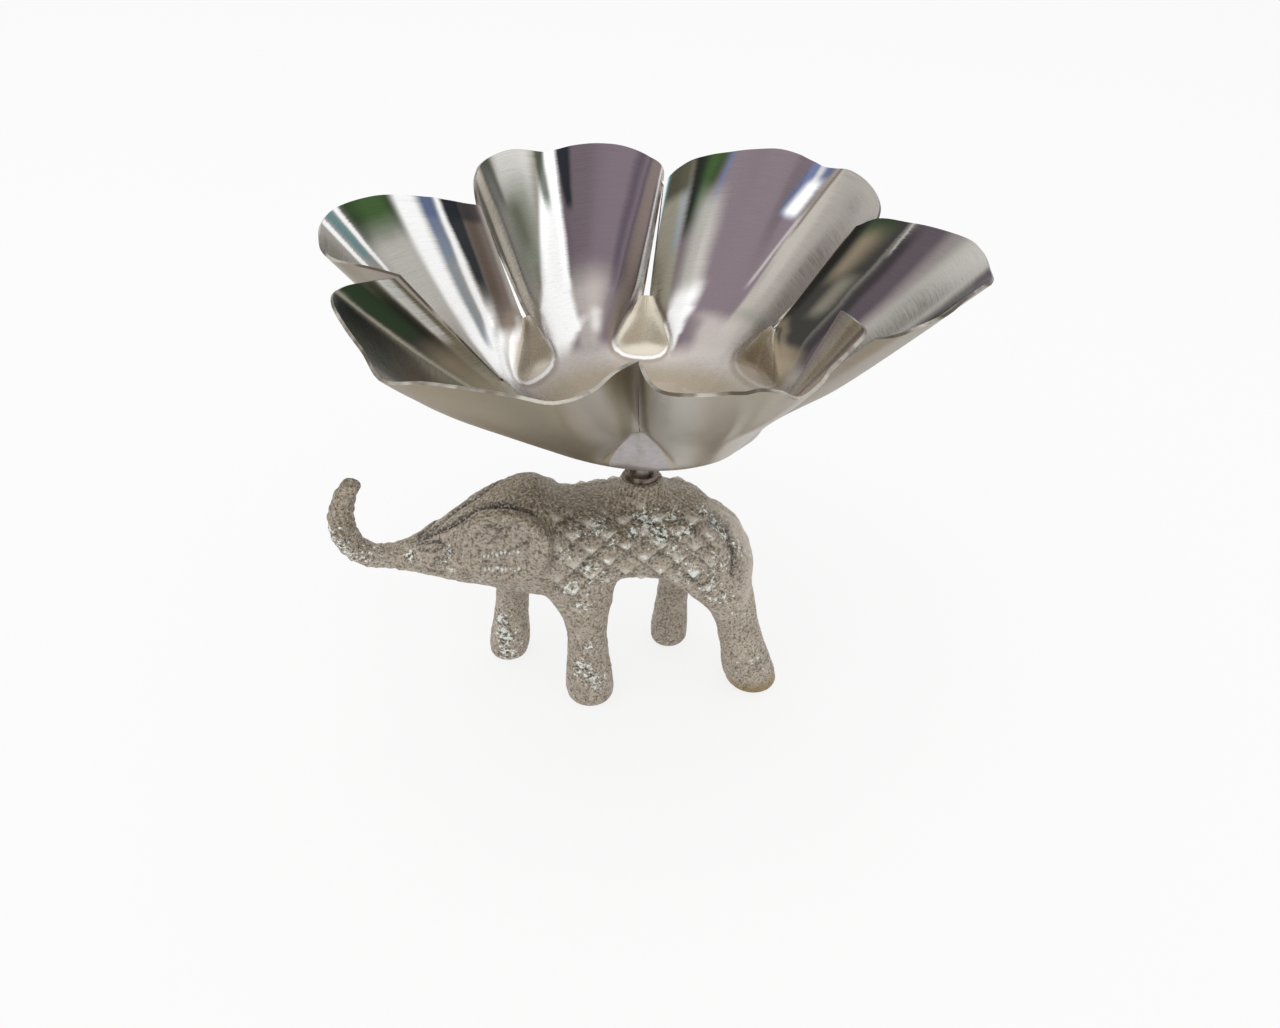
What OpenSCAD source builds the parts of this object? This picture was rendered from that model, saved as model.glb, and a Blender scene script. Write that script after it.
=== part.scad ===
// Offering bowl: a slit sheet-metal bowl of six petals, screwed to the back of a small cast elephant.
// The origin lies on the table under the bowl's screw, +Z is up, and the elephant faces -X.

/* [Bowl] */
// Radius of the circle that the petal tips reach
bowl_r = 55; // [48:0.5:62]
// Height from the underside of the floor to the highest petal tip
bowl_h = 42.8; // [36:0.2:48]
// Thickness of the sheet
sheet = 0.5; // [0.4:0.05:0.8]
// Azimuth of the first petal
petal_turn = 47.2; // [30:0.1:60]
// Radius of the flat floor
floor_r = 9; // [7:0.25:11]
// Radius of the shallow dish round the floor, where the petals begin
dish_r = 22.5; // [20:0.5:25]
// Height of the dish's edge above the underside
dish_h = 7.8; // [6:0.1:10]
// Width of each slit between two petals
slit_w = 1.2; // [0.8:0.1:2]
// Radius at the lower end of the slits
slit_end_r = 27.5; // [26:0.25:30]
// Height of the lower end of the slits above the underside
slit_end_h = 17.8; // [15:0.2:20]
// Radius of a petal's trough at the height of the slit ends
trough_r = 35.6; // [32:0.2:38]
// Width of the pressed nose under each slit, where it meets the dish
nose_w = 11.4; // [8:0.2:13]
// Depth of the shallow crease down the middle of each nose
nose_crease = 0.5; // [0.2:0.1:1]

/* [Fixing] */
// Diameter of the screw's shank
screw_d = 3; // [2.5:0.1:4]
// Length of the shank below its head
screw_l = 18; // [15:0.5:20]
// Diameter of the screw's head
head_d = 5.6; // [5:0.1:7]
// Height of the screw's head
head_h = 2; // [1.5:0.1:2.6]
// Width of the slot across the head
slot_w = 0.8; // [0.5:0.1:1.2]
// Depth of that slot
slot_depth = 0.9; // [0.5:0.1:1.2]
// Diameter of the washer under the screw's head
head_washer_d = 9; // [8:0.25:12]
// Thickness of the washer under the screw's head
head_washer_t = 0.6; // [0.4:0.1:1.2]
// Diameter of the post between the elephant and the bowl
post_d = 4.6; // [4.4:0.1:6]
// Height of that post
post_h = 6; // [5:0.25:10]
// Diameter of the ring at the foot of the post
ring_d = 6.6; // [5.6:0.1:8]
// Thickness of that ring
ring_t = 1.2; // [0.8:0.1:2]
// Radial play of the bowl on the screw
turn_play = 0.08; // [0.02:0.01:0.1]
// Radial play of the ring, post and washer on the screw
loose_play = 0.2; // [0.1:0.05:0.3]
// Radial play of the screw in its tapped hole, with the thread left out
thread_play = 0.05; // [0.02:0.01:0.1]
// Depth of the tapped hole below its mouth
tap_depth = 12; // [9:0.5:16]

/* [Elephant] */
// Length from the curl of the trunk to the rump
body_l = 85; // [75:0.5:95]
// Height of the back above the table
back_h = 48.5; // [44:0.25:54]
// Width of the body across the flanks
body_w = 23.5; // [20:0.25:27]
// Distance between the near and far feet, from centre to centre
track = 15.6; // [15:0.2:19]
// Radius of a leg below the belly
leg_r = 4.4; // [3.8:0.1:5.2]
// Height at which the legs run into the body
hip_h = 35; // [32:0.5:37]
// Radius of the trunk at its first bend
trunk_r = 2.6; // [2.2:0.1:3]
// Length of an ear from front to back
ear_l = 18.6; // [16:0.2:21]
// Height of an ear
ear_h = 15.4; // [13:0.2:17]
// How far an ear stands out of the head
ear_lift = 1.5; // [1:0.1:2.2]
// Side of one diamond of the saddle blanket
diamond = 6.4; // [5:0.2:8]
// Height of a diamond's point above the blanket
diamond_lift = 0.7; // [0.3:0.05:1]
// Radius of the tail at its root
tail_r = 1.5; // [1.2:0.1:2]
// Diameter of the flat seat cast on the back for the ring
seat_d = 7.6; // [6.8:0.2:9]
// Height of that seat above the back
seat_rise = 1.5; // [0.5:0.1:2]

/* [Hidden] */

// Overrun of every cut
over = 0.5;
petals = 6;
pitch = 360 / petals;
facets = 64;

screw_r = screw_d / 2;
seat_z = back_h + seat_rise;
floor_z = seat_z + ring_t + post_h;
head_z = floor_z + sheet + head_washer_t;
full = 1;

// A smooth curve through a list of points, walked from t = 0 to t = 1
function ease(a, b, c, d, t) =
    b + (c - a) * t / 2 + (2 * a - 5 * b + 4 * c - d) * t * t / 2
    + (3 * b - a - 3 * c + d) * t * t * t / 2;
function along(list, t) =
    let (n = len(list) - 1, s = min(max(t, 0), full) * n, i = min(floor(s), n - 1))
    ease(list[max(i - 1, 0)], list[i], list[i + 1], list[min(i + 2, n)], s - i);
function unit(v) = v / norm(v);
function polar(a, r, z) = [r * cos(a), r * sin(a), z];

// Closed skin over a stack of rings that all have the same number of points
module skin(rings) {
    n = len(rings[0]);
    last = len(rings) - 1;
    function id(i, j) = i * n + (j % n);
    polyhedron(
        points = [for (ring = rings) each ring],
        faces = concat(
            [[for (j = [0 : n - 1]) id(0, j)]],
            [for (i = [0 : last - 1], j = [0 : n - 1]) each
                [[id(i, j), id(i + 1, j + 1), id(i, j + 1)], [id(i, j), id(i + 1, j), id(i + 1, j + 1)]]],
            [[for (j = [0 : n - 1]) id(last, n - 1 - j)]]
        ),
        convexity = 8
    );
}

// Bowl
// The rim of each petal from one slit to the next: how far round the petal, as a share of half its
// pitch, how far out, as a share of bowl_r, and how high, as a share of bowl_h. Each petal was bent
// up by hand, so no two are alike.
rim_shares = [
    [[-1.00, 0.86, 0.88], [-0.90, 0.905, 0.91], [-0.72, 0.96, 0.94], [-0.48, 1.03, 0.955],
     [-0.32, 1.045, 0.965], [-0.22, 1.00, 0.968], [-0.14, 0.995, 0.978], [0.02, 1.025, 0.99],
     [0.18, 1.02, 1.00], [0.34, 0.975, 0.995], [0.57, 0.915, 0.977], [0.76, 0.865, 0.95],
     [0.90, 0.82, 0.91], [1.00, 0.775, 0.862]],
    [[-1.00, 0.775, 0.862], [-0.99, 0.83, 0.914], [-0.87, 0.87, 0.95], [-0.66, 0.92, 0.978],
     [-0.45, 0.93, 0.987], [-0.25, 0.915, 0.985], [-0.10, 0.892, 0.978], [-0.02, 0.888, 0.97],
     [0.10, 0.905, 0.98], [0.26, 0.916, 0.988], [0.46, 0.885, 0.985], [0.64, 0.84, 0.975],
     [0.84, 0.78, 0.94], [1.00, 0.712, 0.871]],
    [[-1.00, 0.70, 0.867], [-0.85, 0.72, 0.89], [-0.70, 0.768, 0.918], [-0.57, 0.815, 0.935],
     [-0.42, 0.88, 0.952], [-0.26, 0.925, 0.96], [-0.05, 0.98, 0.953], [0.15, 0.996, 0.93],
     [0.32, 0.985, 0.907], [0.47, 0.968, 0.897], [0.62, 0.935, 0.895], [0.74, 0.88, 0.90],
     [0.88, 0.825, 0.902], [1.00, 0.78, 0.897]],
    [[-1.00, 0.792, 0.897], [-1.00, 0.856, 0.897], [-0.97, 0.935, 0.893], [-0.86, 0.98, 0.883],
     [-0.58, 1.00, 0.855], [-0.38, 1.013, 0.827], [-0.17, 1.04, 0.792], [0.02, 1.00, 0.808],
     [0.26, 0.962, 0.81], [0.45, 0.95, 0.81], [0.63, 0.936, 0.802], [0.78, 0.882, 0.818],
     [0.88, 0.79, 0.836], [1.00, 0.714, 0.836]],
    [[-1.00, 0.731, 0.836], [-0.94, 0.813, 0.827], [-0.86, 0.868, 0.826], [-0.73, 0.898, 0.837],
     [-0.57, 0.907, 0.846], [-0.40, 0.90, 0.847], [-0.29, 0.913, 0.843], [-0.21, 0.95, 0.838],
     [-0.05, 0.915, 0.852], [0.10, 0.868, 0.864], [0.37, 0.815, 0.87], [0.62, 0.772, 0.87],
     [0.74, 0.712, 0.869], [0.88, 0.644, 0.86]],
    [[-1.15, 0.753, 0.80], [-1.14, 0.809, 0.827], [-1.05, 0.854, 0.86], [-0.87, 0.90, 0.888],
     [-0.66, 0.925, 0.903], [-0.44, 0.964, 0.907], [-0.33, 0.992, 0.907], [-0.13, 0.996, 0.918],
     [0.10, 1.003, 0.925], [0.31, 0.998, 0.925], [0.55, 0.945, 0.92], [0.78, 0.891, 0.908],
     [0.95, 0.835, 0.898], [1.00, 0.764, 0.871]],
];

// The deepest line of each petal at the height of the slit ends: how far round, as a share of half the
// pitch, how deep, as a share of the way from slit_end_r to trough_r, how round the trough is, and how
// far the wall above it bellies out, as a share of dish_r
trough_shares = [
    [-0.18, 1.05, 2.6, 0], [-0.05, 1.0, 2.8, 0], [0.05, 1.0, 2.6, 0.02],
    [-0.08, 1.15, 2.0, 0.07], [-0.15, 0.5, 1.4, 0.03], [0.0, 0.95, 2.4, 0.02],
];
// How open the slit after each petal is, as a share of slit_w: most petals were bent back together
slit_shares = [1, 1, 0.35, 0.2, 0.35, 0.35];
// How far the lower end of the slit after each petal is turned from an even share of the circle, and how
// far the foot of the nose under it is, as shares of half the pitch
slit_turn_shares = [0.127, 0.05, 0.045, 0.013, 0, 0.117];
foot_turn_shares = [0.127, 0.22, 0.05, 0.013, 0, 0.12];
// How far out the foot of that nose lies, as a share of dish_r, and how much of this the height follows
foot_reach_shares = [1.05, 1.12, 1.03, 1, 1, 1.17];
foot_rise_share = 0.8;
// How the dish's edge widens into a nose, and how flat the petals' feet are
nose_flare_share = 0.7;
foot_flat_share = 4;

petal_steps = 12;
nose_steps = 4;
wall_rows = 7;
nose_rows = 4;
dish_rows = 3;
row_count = wall_rows + nose_rows + dish_rows;
column_count = petals * (petal_steps + nose_steps);
half_pitch = pitch / 2;

// A point on the rim of petal k, t running from 0 at one slit to 1 at the next
function rim_point(k, t) =
    let (q = along(rim_shares[k], t))
    polar(petal_turn + k * pitch + q[0] * half_pitch, q[1] * bowl_r, q[2] * bowl_h);
// Share of half the pitch at place u across petal k, -1 at one slit and 1 at the next
function turned(u, turns, k) =
    u + (turns[(k + petals - 1) % petals] * (full - u) + turns[k] * (full + u)) / 2;
// The same at the height of the slit ends, where the petal is a rounded trough
function slit_point(k, t) =
    let (u = (2 * t - full + min(max(along(rim_shares[k], t)[0], -full), full)) / 2,
         q = trough_shares[k], side = u < q[0] ? (q[0] - u) / (q[0] + full) : (u - q[0]) / (full - q[0]),
         r = slit_end_r + (trough_r - slit_end_r) * q[1] * (full - pow(side, q[2])),
         gap = slit_w * slit_shares[u < 0 ? (k + petals - 1) % petals : k])
    polar(petal_turn + k * pitch + turned(u, slit_turn_shares, k) * half_pitch
          - u * asin(gap / 2 / slit_end_r), r, slit_end_h);
// The same on the edge of the dish, between two noses
function dish_point(k, t) =
    let (u = 2 * t - full, q = foot_reach_shares,
         reach = q[(k + petals - 1) % petals] * (full - t) + q[k] * t,
         turn = turned(u, foot_turn_shares, k) * half_pitch - u * asin(nose_w / 2 / dish_r),
         rise = dish_h * (full + (reach - full) * foot_rise_share))
    polar(petal_turn + k * pitch + turn, dish_r * reach, rise);
// How wide a nose has grown at share v of the way down from its slit
function nose_spread(v) = pow(v, nose_flare_share);
function trough_sink(t) = full - pow(abs(2 * t - full), foot_flat_share);
function outward(p) = unit([p[0], p[1], 0]);

// Rows run from the rim down to the floor's edge
function petal_point(k, t, row) =
    row <= wall_rows
    ? let (v = row / wall_rows, m = rim_point(k, t) * (full - v) + slit_point(k, t) * v)
        m + outward(m) * trough_shares[k][3] * dish_r * sin(180 * v) * sin(180 * t)
    : row <= wall_rows + nose_rows
    ? let (v = (row - wall_rows) / nose_rows, sink = trough_sink(t),
           s = nose_spread(v) * (full - sink) + v * sink, a = slit_point(k, t), b = dish_point(k, t))
        [a[0] * (full - s) + b[0] * s, a[1] * (full - s) + b[1] * s, a[2] * (full - v) + b[2] * v]
    : dish_row(dish_point(k, t), row);
function dish_row(p, row) =
    let (v = (row - wall_rows - nose_rows) / dish_rows, flat = norm([p[0], p[1]]),
         share = full - v + floor_r / flat * v)
    [p[0] * share, p[1] * share, p[2] * (full - v)];
// A nose is stretched between the edges of the petals on both sides of it, creased down its middle, and
// its foot follows the dish's round edge
function nose_point(k, s, row) =
    let (a = petal_point(k, full, row), b = petal_point((k + 1) % petals, 0, row),
         m = a * (full - s) + b * s, v = min(max((row - wall_rows) / nose_rows, 0), full), c = 2 * s - full,
         crease = nose_crease * sin(180 * v) * (full / 2 - abs(c)),
         bow = (full - cos(asin(nose_w / 2 / dish_r))) * dish_r * v * (full - c * c))
    row > wall_rows + nose_rows ? dish_row(nose_point(k, s, wall_rows + nose_rows), row)
    : m + outward(m) * (crease + bow);
function bowl_point(j, row) =
    let (k = floor(j / (petal_steps + nose_steps)), c = j % (petal_steps + nose_steps))
    c <= petal_steps ? petal_point(k, c / petal_steps, row)
    : nose_point(k, (c - petal_steps) / nose_steps, row);

// True where the slit leaves nothing between column j and the next
function is_slit(j, row) = (j % (petal_steps + nose_steps)) >= petal_steps && row < wall_rows;
// True where column j itself lies inside the slit
function is_gap(j, row) = (j % (petal_steps + nose_steps)) > petal_steps && row < wall_rows;

module bowl_skin() {
    n = column_count;
    outer = [for (row = [0 : row_count]) [for (j = [0 : n - 1]) bowl_point(j, row)]];
    function next(j, row) = is_slit(j, row) ? j : (j + 1) % n;
    function prior(j, row) = is_slit((j + n - 1) % n, row) ? j : (j + n - 1) % n;
    function face_normal(j, row) =
        unit(cross(outer[min(row + 1, row_count)][j] - outer[max(row - 1, 0)][j],
                   outer[row][next(j, row)] - outer[row][prior(j, row)]));
    inner = [for (row = [0 : row_count]) [for (j = [0 : n - 1])
        row == row_count ? outer[row][j] + [0, 0, sheet]
        : is_gap(j, row) ? outer[row][j]
        : outer[row][j] - sheet * face_normal(j, row)]];
    half_count = (row_count + 1) * n;
    function id(j, row) = row * n + (j % n);
    function in_id(j, row) = half_count + id(j, row);
    cells = [for (row = [0 : row_count - 1], j = [0 : n - 1]) if (!is_slit(j, row)) [j, row]];
    polyhedron(
        points = concat([for (ring = outer) each ring], [for (ring = inner) each ring]),
        faces = concat(
            [for (c = cells) each let (j = c[0], row = c[1])
                [[id(j, row), id(j + 1, row), id(j + 1, row + 1)],
                 [id(j, row), id(j + 1, row + 1), id(j, row + 1)],
                 [in_id(j, row), in_id(j + 1, row + 1), in_id(j + 1, row)],
                 [in_id(j, row), in_id(j, row + 1), in_id(j + 1, row + 1)]]],
            // Rim
            [for (j = [0 : n - 1]) if (!is_slit(j, 0)) each
                [[id(j, 0), in_id(j, 0), in_id(j + 1, 0)], [id(j, 0), in_id(j + 1, 0), id(j + 1, 0)]]],
            // Both walls of each slit and its lower end
            [for (row = [0 : wall_rows - 1], j = [0 : n - 1])
                if (is_slit(j, row) && !is_slit(j + n - 1, row)) each
                [[id(j, row + 1), id(j, row), in_id(j, row)],
                 [id(j, row + 1), in_id(j, row), in_id(j, row + 1)]]],
            [for (row = [0 : wall_rows - 1], j = [0 : n - 1])
                if (is_slit(j, row) && !is_slit(j + 1, row)) each
                [[id(j + 1, row), id(j + 1, row + 1), in_id(j + 1, row + 1)],
                 [id(j + 1, row), in_id(j + 1, row + 1), in_id(j + 1, row)]]],
            [for (j = [0 : n - 1]) if (is_slit(j, 0)) each
                [[id(j, wall_rows), in_id(j, wall_rows), in_id(j + 1, wall_rows)],
                 [id(j, wall_rows), in_id(j + 1, wall_rows), id(j + 1, wall_rows)]]],
            // Floor
            [[for (j = [0 : n - 1]) id(j, row_count)]],
            [[for (j = [0 : n - 1]) in_id(n - 1 - j, row_count)]]
        ),
        convexity = 12
    );
}

module petal_bowl() {
    color([0.86, 0.86, 0.85])
    difference() {
        translate([0, 0, floor_z]) bowl_skin();
        translate([0, 0, floor_z - over])
            cylinder(r = screw_r + turn_play, h = sheet + 2 * over, $fn = facets);
    }
}

// Elephant
// Stations from the rump to the root of the trunk: place along the body as a share of body_l, then the
// top and the underside as shares of back_h, then half the width as a share of body_w / 2
body_shares = [
    [0.282, 0.64, 0.55, 0.30],
    [0.266, 0.70, 0.53, 0.60],
    [0.230, 0.79, 0.54, 0.82],
    [0.175, 0.875, 0.545, 0.94],
    [0.110, 0.935, 0.56, 0.99],
    [0.040, 0.955, 0.59, 1.00],
    [-0.040, 0.955, 0.615, 1.00],
    [-0.120, 0.938, 0.60, 0.98],
    [-0.185, 0.958, 0.545, 0.95],
    [-0.240, 1.03, 0.525, 0.91],
    [-0.300, 1.02, 0.55, 0.86],
    [-0.360, 0.965, 0.585, 0.78],
    [-0.420, 0.895, 0.605, 0.65],
    [-0.480, 0.82, 0.635, 0.48],
    [-0.530, 0.775, 0.655, 0.34],
];
// Stations of the trunk from its root to its tip: place along the body and height, as shares of body_l
// and back_h, the radius as a share of trunk_r, and the lean of the section in degrees
trunk_shares = [
    [-0.575, 0.713, 1.02, 8],
    [-0.620, 0.722, 0.96, 30],
    [-0.655, 0.770, 1.00, 60],
    [-0.672, 0.845, 1.00, 84],
    [-0.672, 0.925, 0.92, 98],
    [-0.658, 1.005, 0.80, 108],
    [-0.636, 1.070, 0.66, 114],
];
// Shape of one leg from the sole up: height as a share of hip_h, then half its length along the body
// and half its width across as shares of leg_r
leg_shares = [
    [0.00, 0.98, 0.90], [0.035, 1.14, 1.05], [0.10, 1.18, 1.09], [0.20, 1.12, 1.04], [0.32, 1.00, 0.95],
    [0.50, 0.95, 0.91], [0.60, 1.04, 0.97], [0.68, 1.22, 1.06], [0.76, 1.50, 1.14], [0.84, 1.75, 1.18],
    [0.92, 1.92, 1.14], [1.00, 2.00, 1.00], [1.08, 1.90, 0.70],
];
// How far the hips lean in under the back, as a share of half the track
hip_lean_share = 0.24;
// Each leg: place of the foot and of the hip as shares of body_l, its side, how far its wide top runs
// forward, as a share of what it has widened, and how thick it is, as a share of leg_r
leg_places_shares = [
    [-0.121, -0.143, -1, 0.35, 1.0], [0.302, 0.18, -1, 1.1, 1.11],
    [-0.316, -0.284, 1, 0, 0.86], [0.114, 0.118, 1, 0.2, 0.82],
];
// Path of the tail down the rump to the back of the near leg: along the body, height, and distance to the
// near side, as shares of body_l, back_h and body_w
tail_shares = [
    [0.150, 0.868, 0.05], [0.205, 0.815, 0.08], [0.247, 0.735, 0.11],
    [0.270, 0.63, 0.15], [0.266, 0.53, 0.21], [0.257, 0.44, 0.26],
];

// Each ear: its side, its centre as shares of body_l and back_h, and its size as a share of ear_l and ear_h
ear_places_shares = [[-1, -0.322, 0.875, 1.0], [1, -0.322, 0.76, 0.9]];
// The layers of an ear from inside the head outwards: size as a share of the ear's, and height as a
// share of ear_lift
ear_layers_shares = [
    [0.80, -1.6], [0.97, -0.5], [1.00, 0.2], [0.93, 0.72], [0.72, 0.92], [0.40, 0.72], [0.12, 0.60],
];
// Half the distance between the ears' roots, as a share of body_w
ear_root_share = 0.42;
ear_lean = 8;
ear_flare = 13;

// The boss under the seat: its height, and its foot's diameter as a share of seat_d
boss_h = 6;
boss_share = 2;

body_rings = 60;
trunk_rings = 14;
ring_points = 36;
side_points = 18;
ear_points = 24;
tail_points = 8;
tail_rings = 10;
tail_taper_share = 0.35;
// How square the body's section and the ears' outline are: 2 is an ellipse
body_square_share = 2.3;
ear_square_share = 2.2;
// The trunk is a little narrower than it is deep
trunk_flat_share = 0.9;
// How far forward and back of the screw the blanket reaches, as shares of body_l, and how far down the
// flank and up to the spine, as shares of the body's half height
blanket_share = [-0.16, 0.235];
blanket_side_share = [-0.62, 0.95];

// A point at angle a of an ellipse of half widths 1, made square by n
function squarish(a, n) =
    [sign(cos(a)) * pow(abs(cos(a)), 2 / n), sign(sin(a)) * pow(abs(sin(a)), 2 / n)];
// A wave that falls from 1 to 0 and rises again as x grows by 1
function saw(x) = abs(2 * (x - floor(x)) - full);
// Raised diamonds of the blanket at place x and distance s round the body, sinking towards its edges
function blanket_lift(x, s, height) =
    let (ends = blanket_share * body_l,
         fade = min((x - ends[0]) / diamond, (ends[1] - x) / diamond,
                    2 * (height - blanket_side_share[0]), 4 * (blanket_side_share[1] - height), full))
    max(fade, 0) * diamond_lift * min(saw((x + s) / diamond / sqrt(2)), saw((x - s) / diamond / sqrt(2)));
function body_ring(q) =
    let (x = q[0] * body_l, top = q[1] * back_h, low = q[2] * back_h, w = q[3] * body_w / 2,
         mid = (top + low) / 2, up = (top - low) / 2)
    [for (j = [0 : ring_points - 1])
        let (a = 360 * j / ring_points, p = squarish(a, body_square_share),
             lift = blanket_lift(x, a / 180 * PI * body_w / 2, sin(a)))
        [x, -p[0] * (w + lift), mid + p[1] * (up + lift)]];
function trunk_ring(q) =
    let (r = q[2] * trunk_r)
    [for (j = [0 : ring_points - 1])
        let (a = 360 * j / ring_points)
        [q[0] * body_l + sin(a) * r * sin(q[3]), -cos(a) * r * trunk_flat_share,
         q[1] * back_h + sin(a) * r * cos(q[3])]];

module body_and_trunk() {
    skin(concat(
        [for (i = [0 : body_rings]) body_ring(along(body_shares, i / body_rings))],
        [for (i = [0 : trunk_rings]) trunk_ring(along(trunk_shares, i / trunk_rings))]
    ));
}

module leg(place) {
    skin([for (q = leg_shares)
        [for (j = [0 : side_points - 1])
            let (a = 360 * j / side_points, x = (place[0] * (full - q[0]) + place[1] * q[0]) * body_l,
                 r = place[4] * leg_r, forward = place[3] * q[0] * max(q[1] - full, 0) * r,
                 y = place[2] * track / 2 * (full - hip_lean_share * q[0] * q[0]))
            [x - forward + q[1] * r * cos(a), y + q[2] * r * sin(a), q[0] * hip_h]]]);
}

// A thin lens with a sunk middle that lies on the side of the head
module ear(place) {
    side = place[0];
    translate([place[1] * body_l, side * ear_root_share * body_w, place[2] * back_h])
    rotate([side * ear_lean, 0, side * ear_flare])
    skin([for (q = ear_layers_shares)
        [for (j = [0 : ear_points - 1])
            let (a = -side * 360 * j / ear_points, e = squarish(a, ear_square_share) * q[0] * place[3])
            [e[0] * ear_l / 2, side * q[1] * ear_lift, e[1] * ear_h / 2]]]);
}

// The tail lies against the rump
module tail() {
    skin([for (i = [0 : tail_rings])
        let (p = along(tail_shares, i / tail_rings),
             way = along(tail_shares, (i + full) / tail_rings) - along(tail_shares, (i - full) / tail_rings),
             lean = atan2(way[1] * back_h, way[0] * body_l),
             r = tail_r * (full - tail_taper_share * i / tail_rings))
        [for (j = [0 : tail_points - 1])
            let (a = 360 * j / tail_points)
            [p[0] * body_l - sin(lean) * r * sin(a), r * cos(a) - p[2] * body_w,
             p[1] * back_h + cos(lean) * r * sin(a)]]]);
}

module elephant_casting() {
    color([0.62, 0.58, 0.53])
    difference() {
        union() {
            body_and_trunk();
            for (place = leg_places_shares) leg(place);
            for (place = ear_places_shares) ear(place);
            tail();
            translate([0, 0, seat_z - boss_h])
                cylinder(d1 = seat_d * boss_share, d2 = seat_d, h = boss_h, $fn = facets);
        }
        translate([0, 0, seat_z - tap_depth])
            cylinder(r = screw_r + thread_play, h = tap_depth + over, $fn = facets);
    }
}

// Turned and stamped fixings
// The flat on top of the domed screw head, as a share of head_d
head_top_share = 0.72;

module tube(outer_d, bore_r, h) {
    difference() {
        cylinder(d = outer_d, h = h, $fn = facets);
        translate([0, 0, -over]) cylinder(r = bore_r, h = h + 2 * over, $fn = facets);
    }
}

module foot_ring() {
    color([0.70, 0.67, 0.62])
    translate([0, 0, seat_z]) tube(ring_d, screw_r + loose_play, ring_t);
}

module spacer_post() {
    color([0.66, 0.62, 0.57])
    translate([0, 0, seat_z + ring_t]) tube(post_d, screw_r + loose_play, post_h);
}

module head_washer() {
    color([0.78, 0.77, 0.74])
    translate([0, 0, floor_z + sheet]) tube(head_washer_d, screw_r + loose_play, head_washer_t);
}

module bowl_screw() {
    color([0.75, 0.73, 0.70])
    difference() {
        union() {
            translate([0, 0, head_z - screw_l])
                cylinder(r = screw_r, h = screw_l + head_h / 2, $fn = facets);
            translate([0, 0, head_z]) cylinder(d = head_d, h = head_h / 2, $fn = facets);
            translate([0, 0, head_z + head_h / 2])
                cylinder(d1 = head_d, d2 = head_d * head_top_share, h = head_h / 2, $fn = facets);
        }
        translate([-head_d, -slot_w / 2, head_z + head_h - slot_depth])
            cube([2 * head_d, slot_w, slot_depth + over]);
    }
}

elephant_casting();
foot_ring();
spacer_post();
petal_bowl();
head_washer();
bowl_screw();
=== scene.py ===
# Offering bowl: a slit sheet-metal bowl of six hand-bent petals, screwed to the back of a small
# silver-plated cast elephant. Sections follow the object as it is put together.
import math

import bpy
import numpy as np
from mathutils import Matrix, Vector, noise


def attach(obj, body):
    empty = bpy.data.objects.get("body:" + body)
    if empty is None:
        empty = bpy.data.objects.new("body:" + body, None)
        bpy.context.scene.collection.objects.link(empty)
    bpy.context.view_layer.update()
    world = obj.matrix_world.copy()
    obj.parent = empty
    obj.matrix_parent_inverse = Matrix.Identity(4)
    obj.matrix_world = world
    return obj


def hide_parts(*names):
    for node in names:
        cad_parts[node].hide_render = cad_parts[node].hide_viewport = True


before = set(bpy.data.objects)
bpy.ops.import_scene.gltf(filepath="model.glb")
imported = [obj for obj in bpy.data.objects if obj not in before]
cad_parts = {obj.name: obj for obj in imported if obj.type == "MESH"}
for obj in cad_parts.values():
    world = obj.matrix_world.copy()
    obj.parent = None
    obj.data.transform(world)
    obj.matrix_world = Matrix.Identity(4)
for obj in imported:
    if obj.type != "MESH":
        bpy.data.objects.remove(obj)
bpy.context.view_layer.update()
MM = 0.001

# Elephant casting
# One piece of brass poured in a sand mould and silver plated as cast: trunk raised, ears flat on the
# head, a blanket of overlapping scales on the flanks and a tail that lies against the rump. Its back
# is drilled and tapped for the bowl's screw.


def select_only(piece):
    bpy.ops.object.select_all(action="DESELECT")
    piece.select_set(True)
    bpy.context.view_layer.objects.active = piece


def new_object(name, data):
    data.name = name
    made = bpy.data.objects.new(name, data)
    bpy.context.scene.collection.objects.link(made)
    select_only(made)
    return made


def apply_modifier(piece, kind, **settings):
    select_only(piece)
    modifier = piece.modifiers.new(kind.lower(), kind)
    for setting, value in settings.items():
        setattr(modifier, setting, value)
    bpy.ops.object.modifier_apply(modifier=modifier.name)


def edit_all(piece, tool, **settings):
    """Runs an edit-mode tool on the whole of a piece's mesh."""
    select_only(piece)
    bpy.ops.object.mode_set(mode="EDIT")
    bpy.ops.mesh.select_all(action="SELECT")
    tool(**settings)
    bpy.ops.object.mode_set(mode="OBJECT")


def soften(piece, chosen, factor, repeat):
    """Smooths the chosen vertices of a piece, a boolean for each, with the edit-mode tool."""
    select_only(piece)
    bpy.ops.object.mode_set(mode="EDIT")
    bpy.ops.mesh.select_mode(type="VERT")
    bpy.ops.mesh.select_all(action="DESELECT")
    bpy.ops.object.mode_set(mode="OBJECT")
    piece.data.vertices.foreach_set("select", np.asarray(chosen, bool))
    bpy.ops.object.mode_set(mode="EDIT")
    bpy.ops.mesh.vertices_smooth(factor=factor, repeat=repeat)
    bpy.ops.object.mode_set(mode="OBJECT")


def values_of(rows, field, width=1, kind=np.float32):
    """One field of all rows of a mesh's data, with a column for each of its numbers."""
    flat = np.empty(len(rows) * width, kind)
    rows.foreach_get(field, flat)
    return flat.reshape(-1, width) if width > 1 else flat


def places(piece):
    """The places of a mesh's vertices in millimetres, one row each."""
    return values_of(piece.data.vertices, "co", 3).astype(float) / MM


def set_places(piece, points):
    piece.data.vertices.foreach_set("co", (np.asarray(points) * MM).astype(np.float32).ravel())
    piece.data.update()


def normals_of(piece):
    return values_of(piece.data.vertex_normals, "vector", 3).astype(float)


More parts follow.
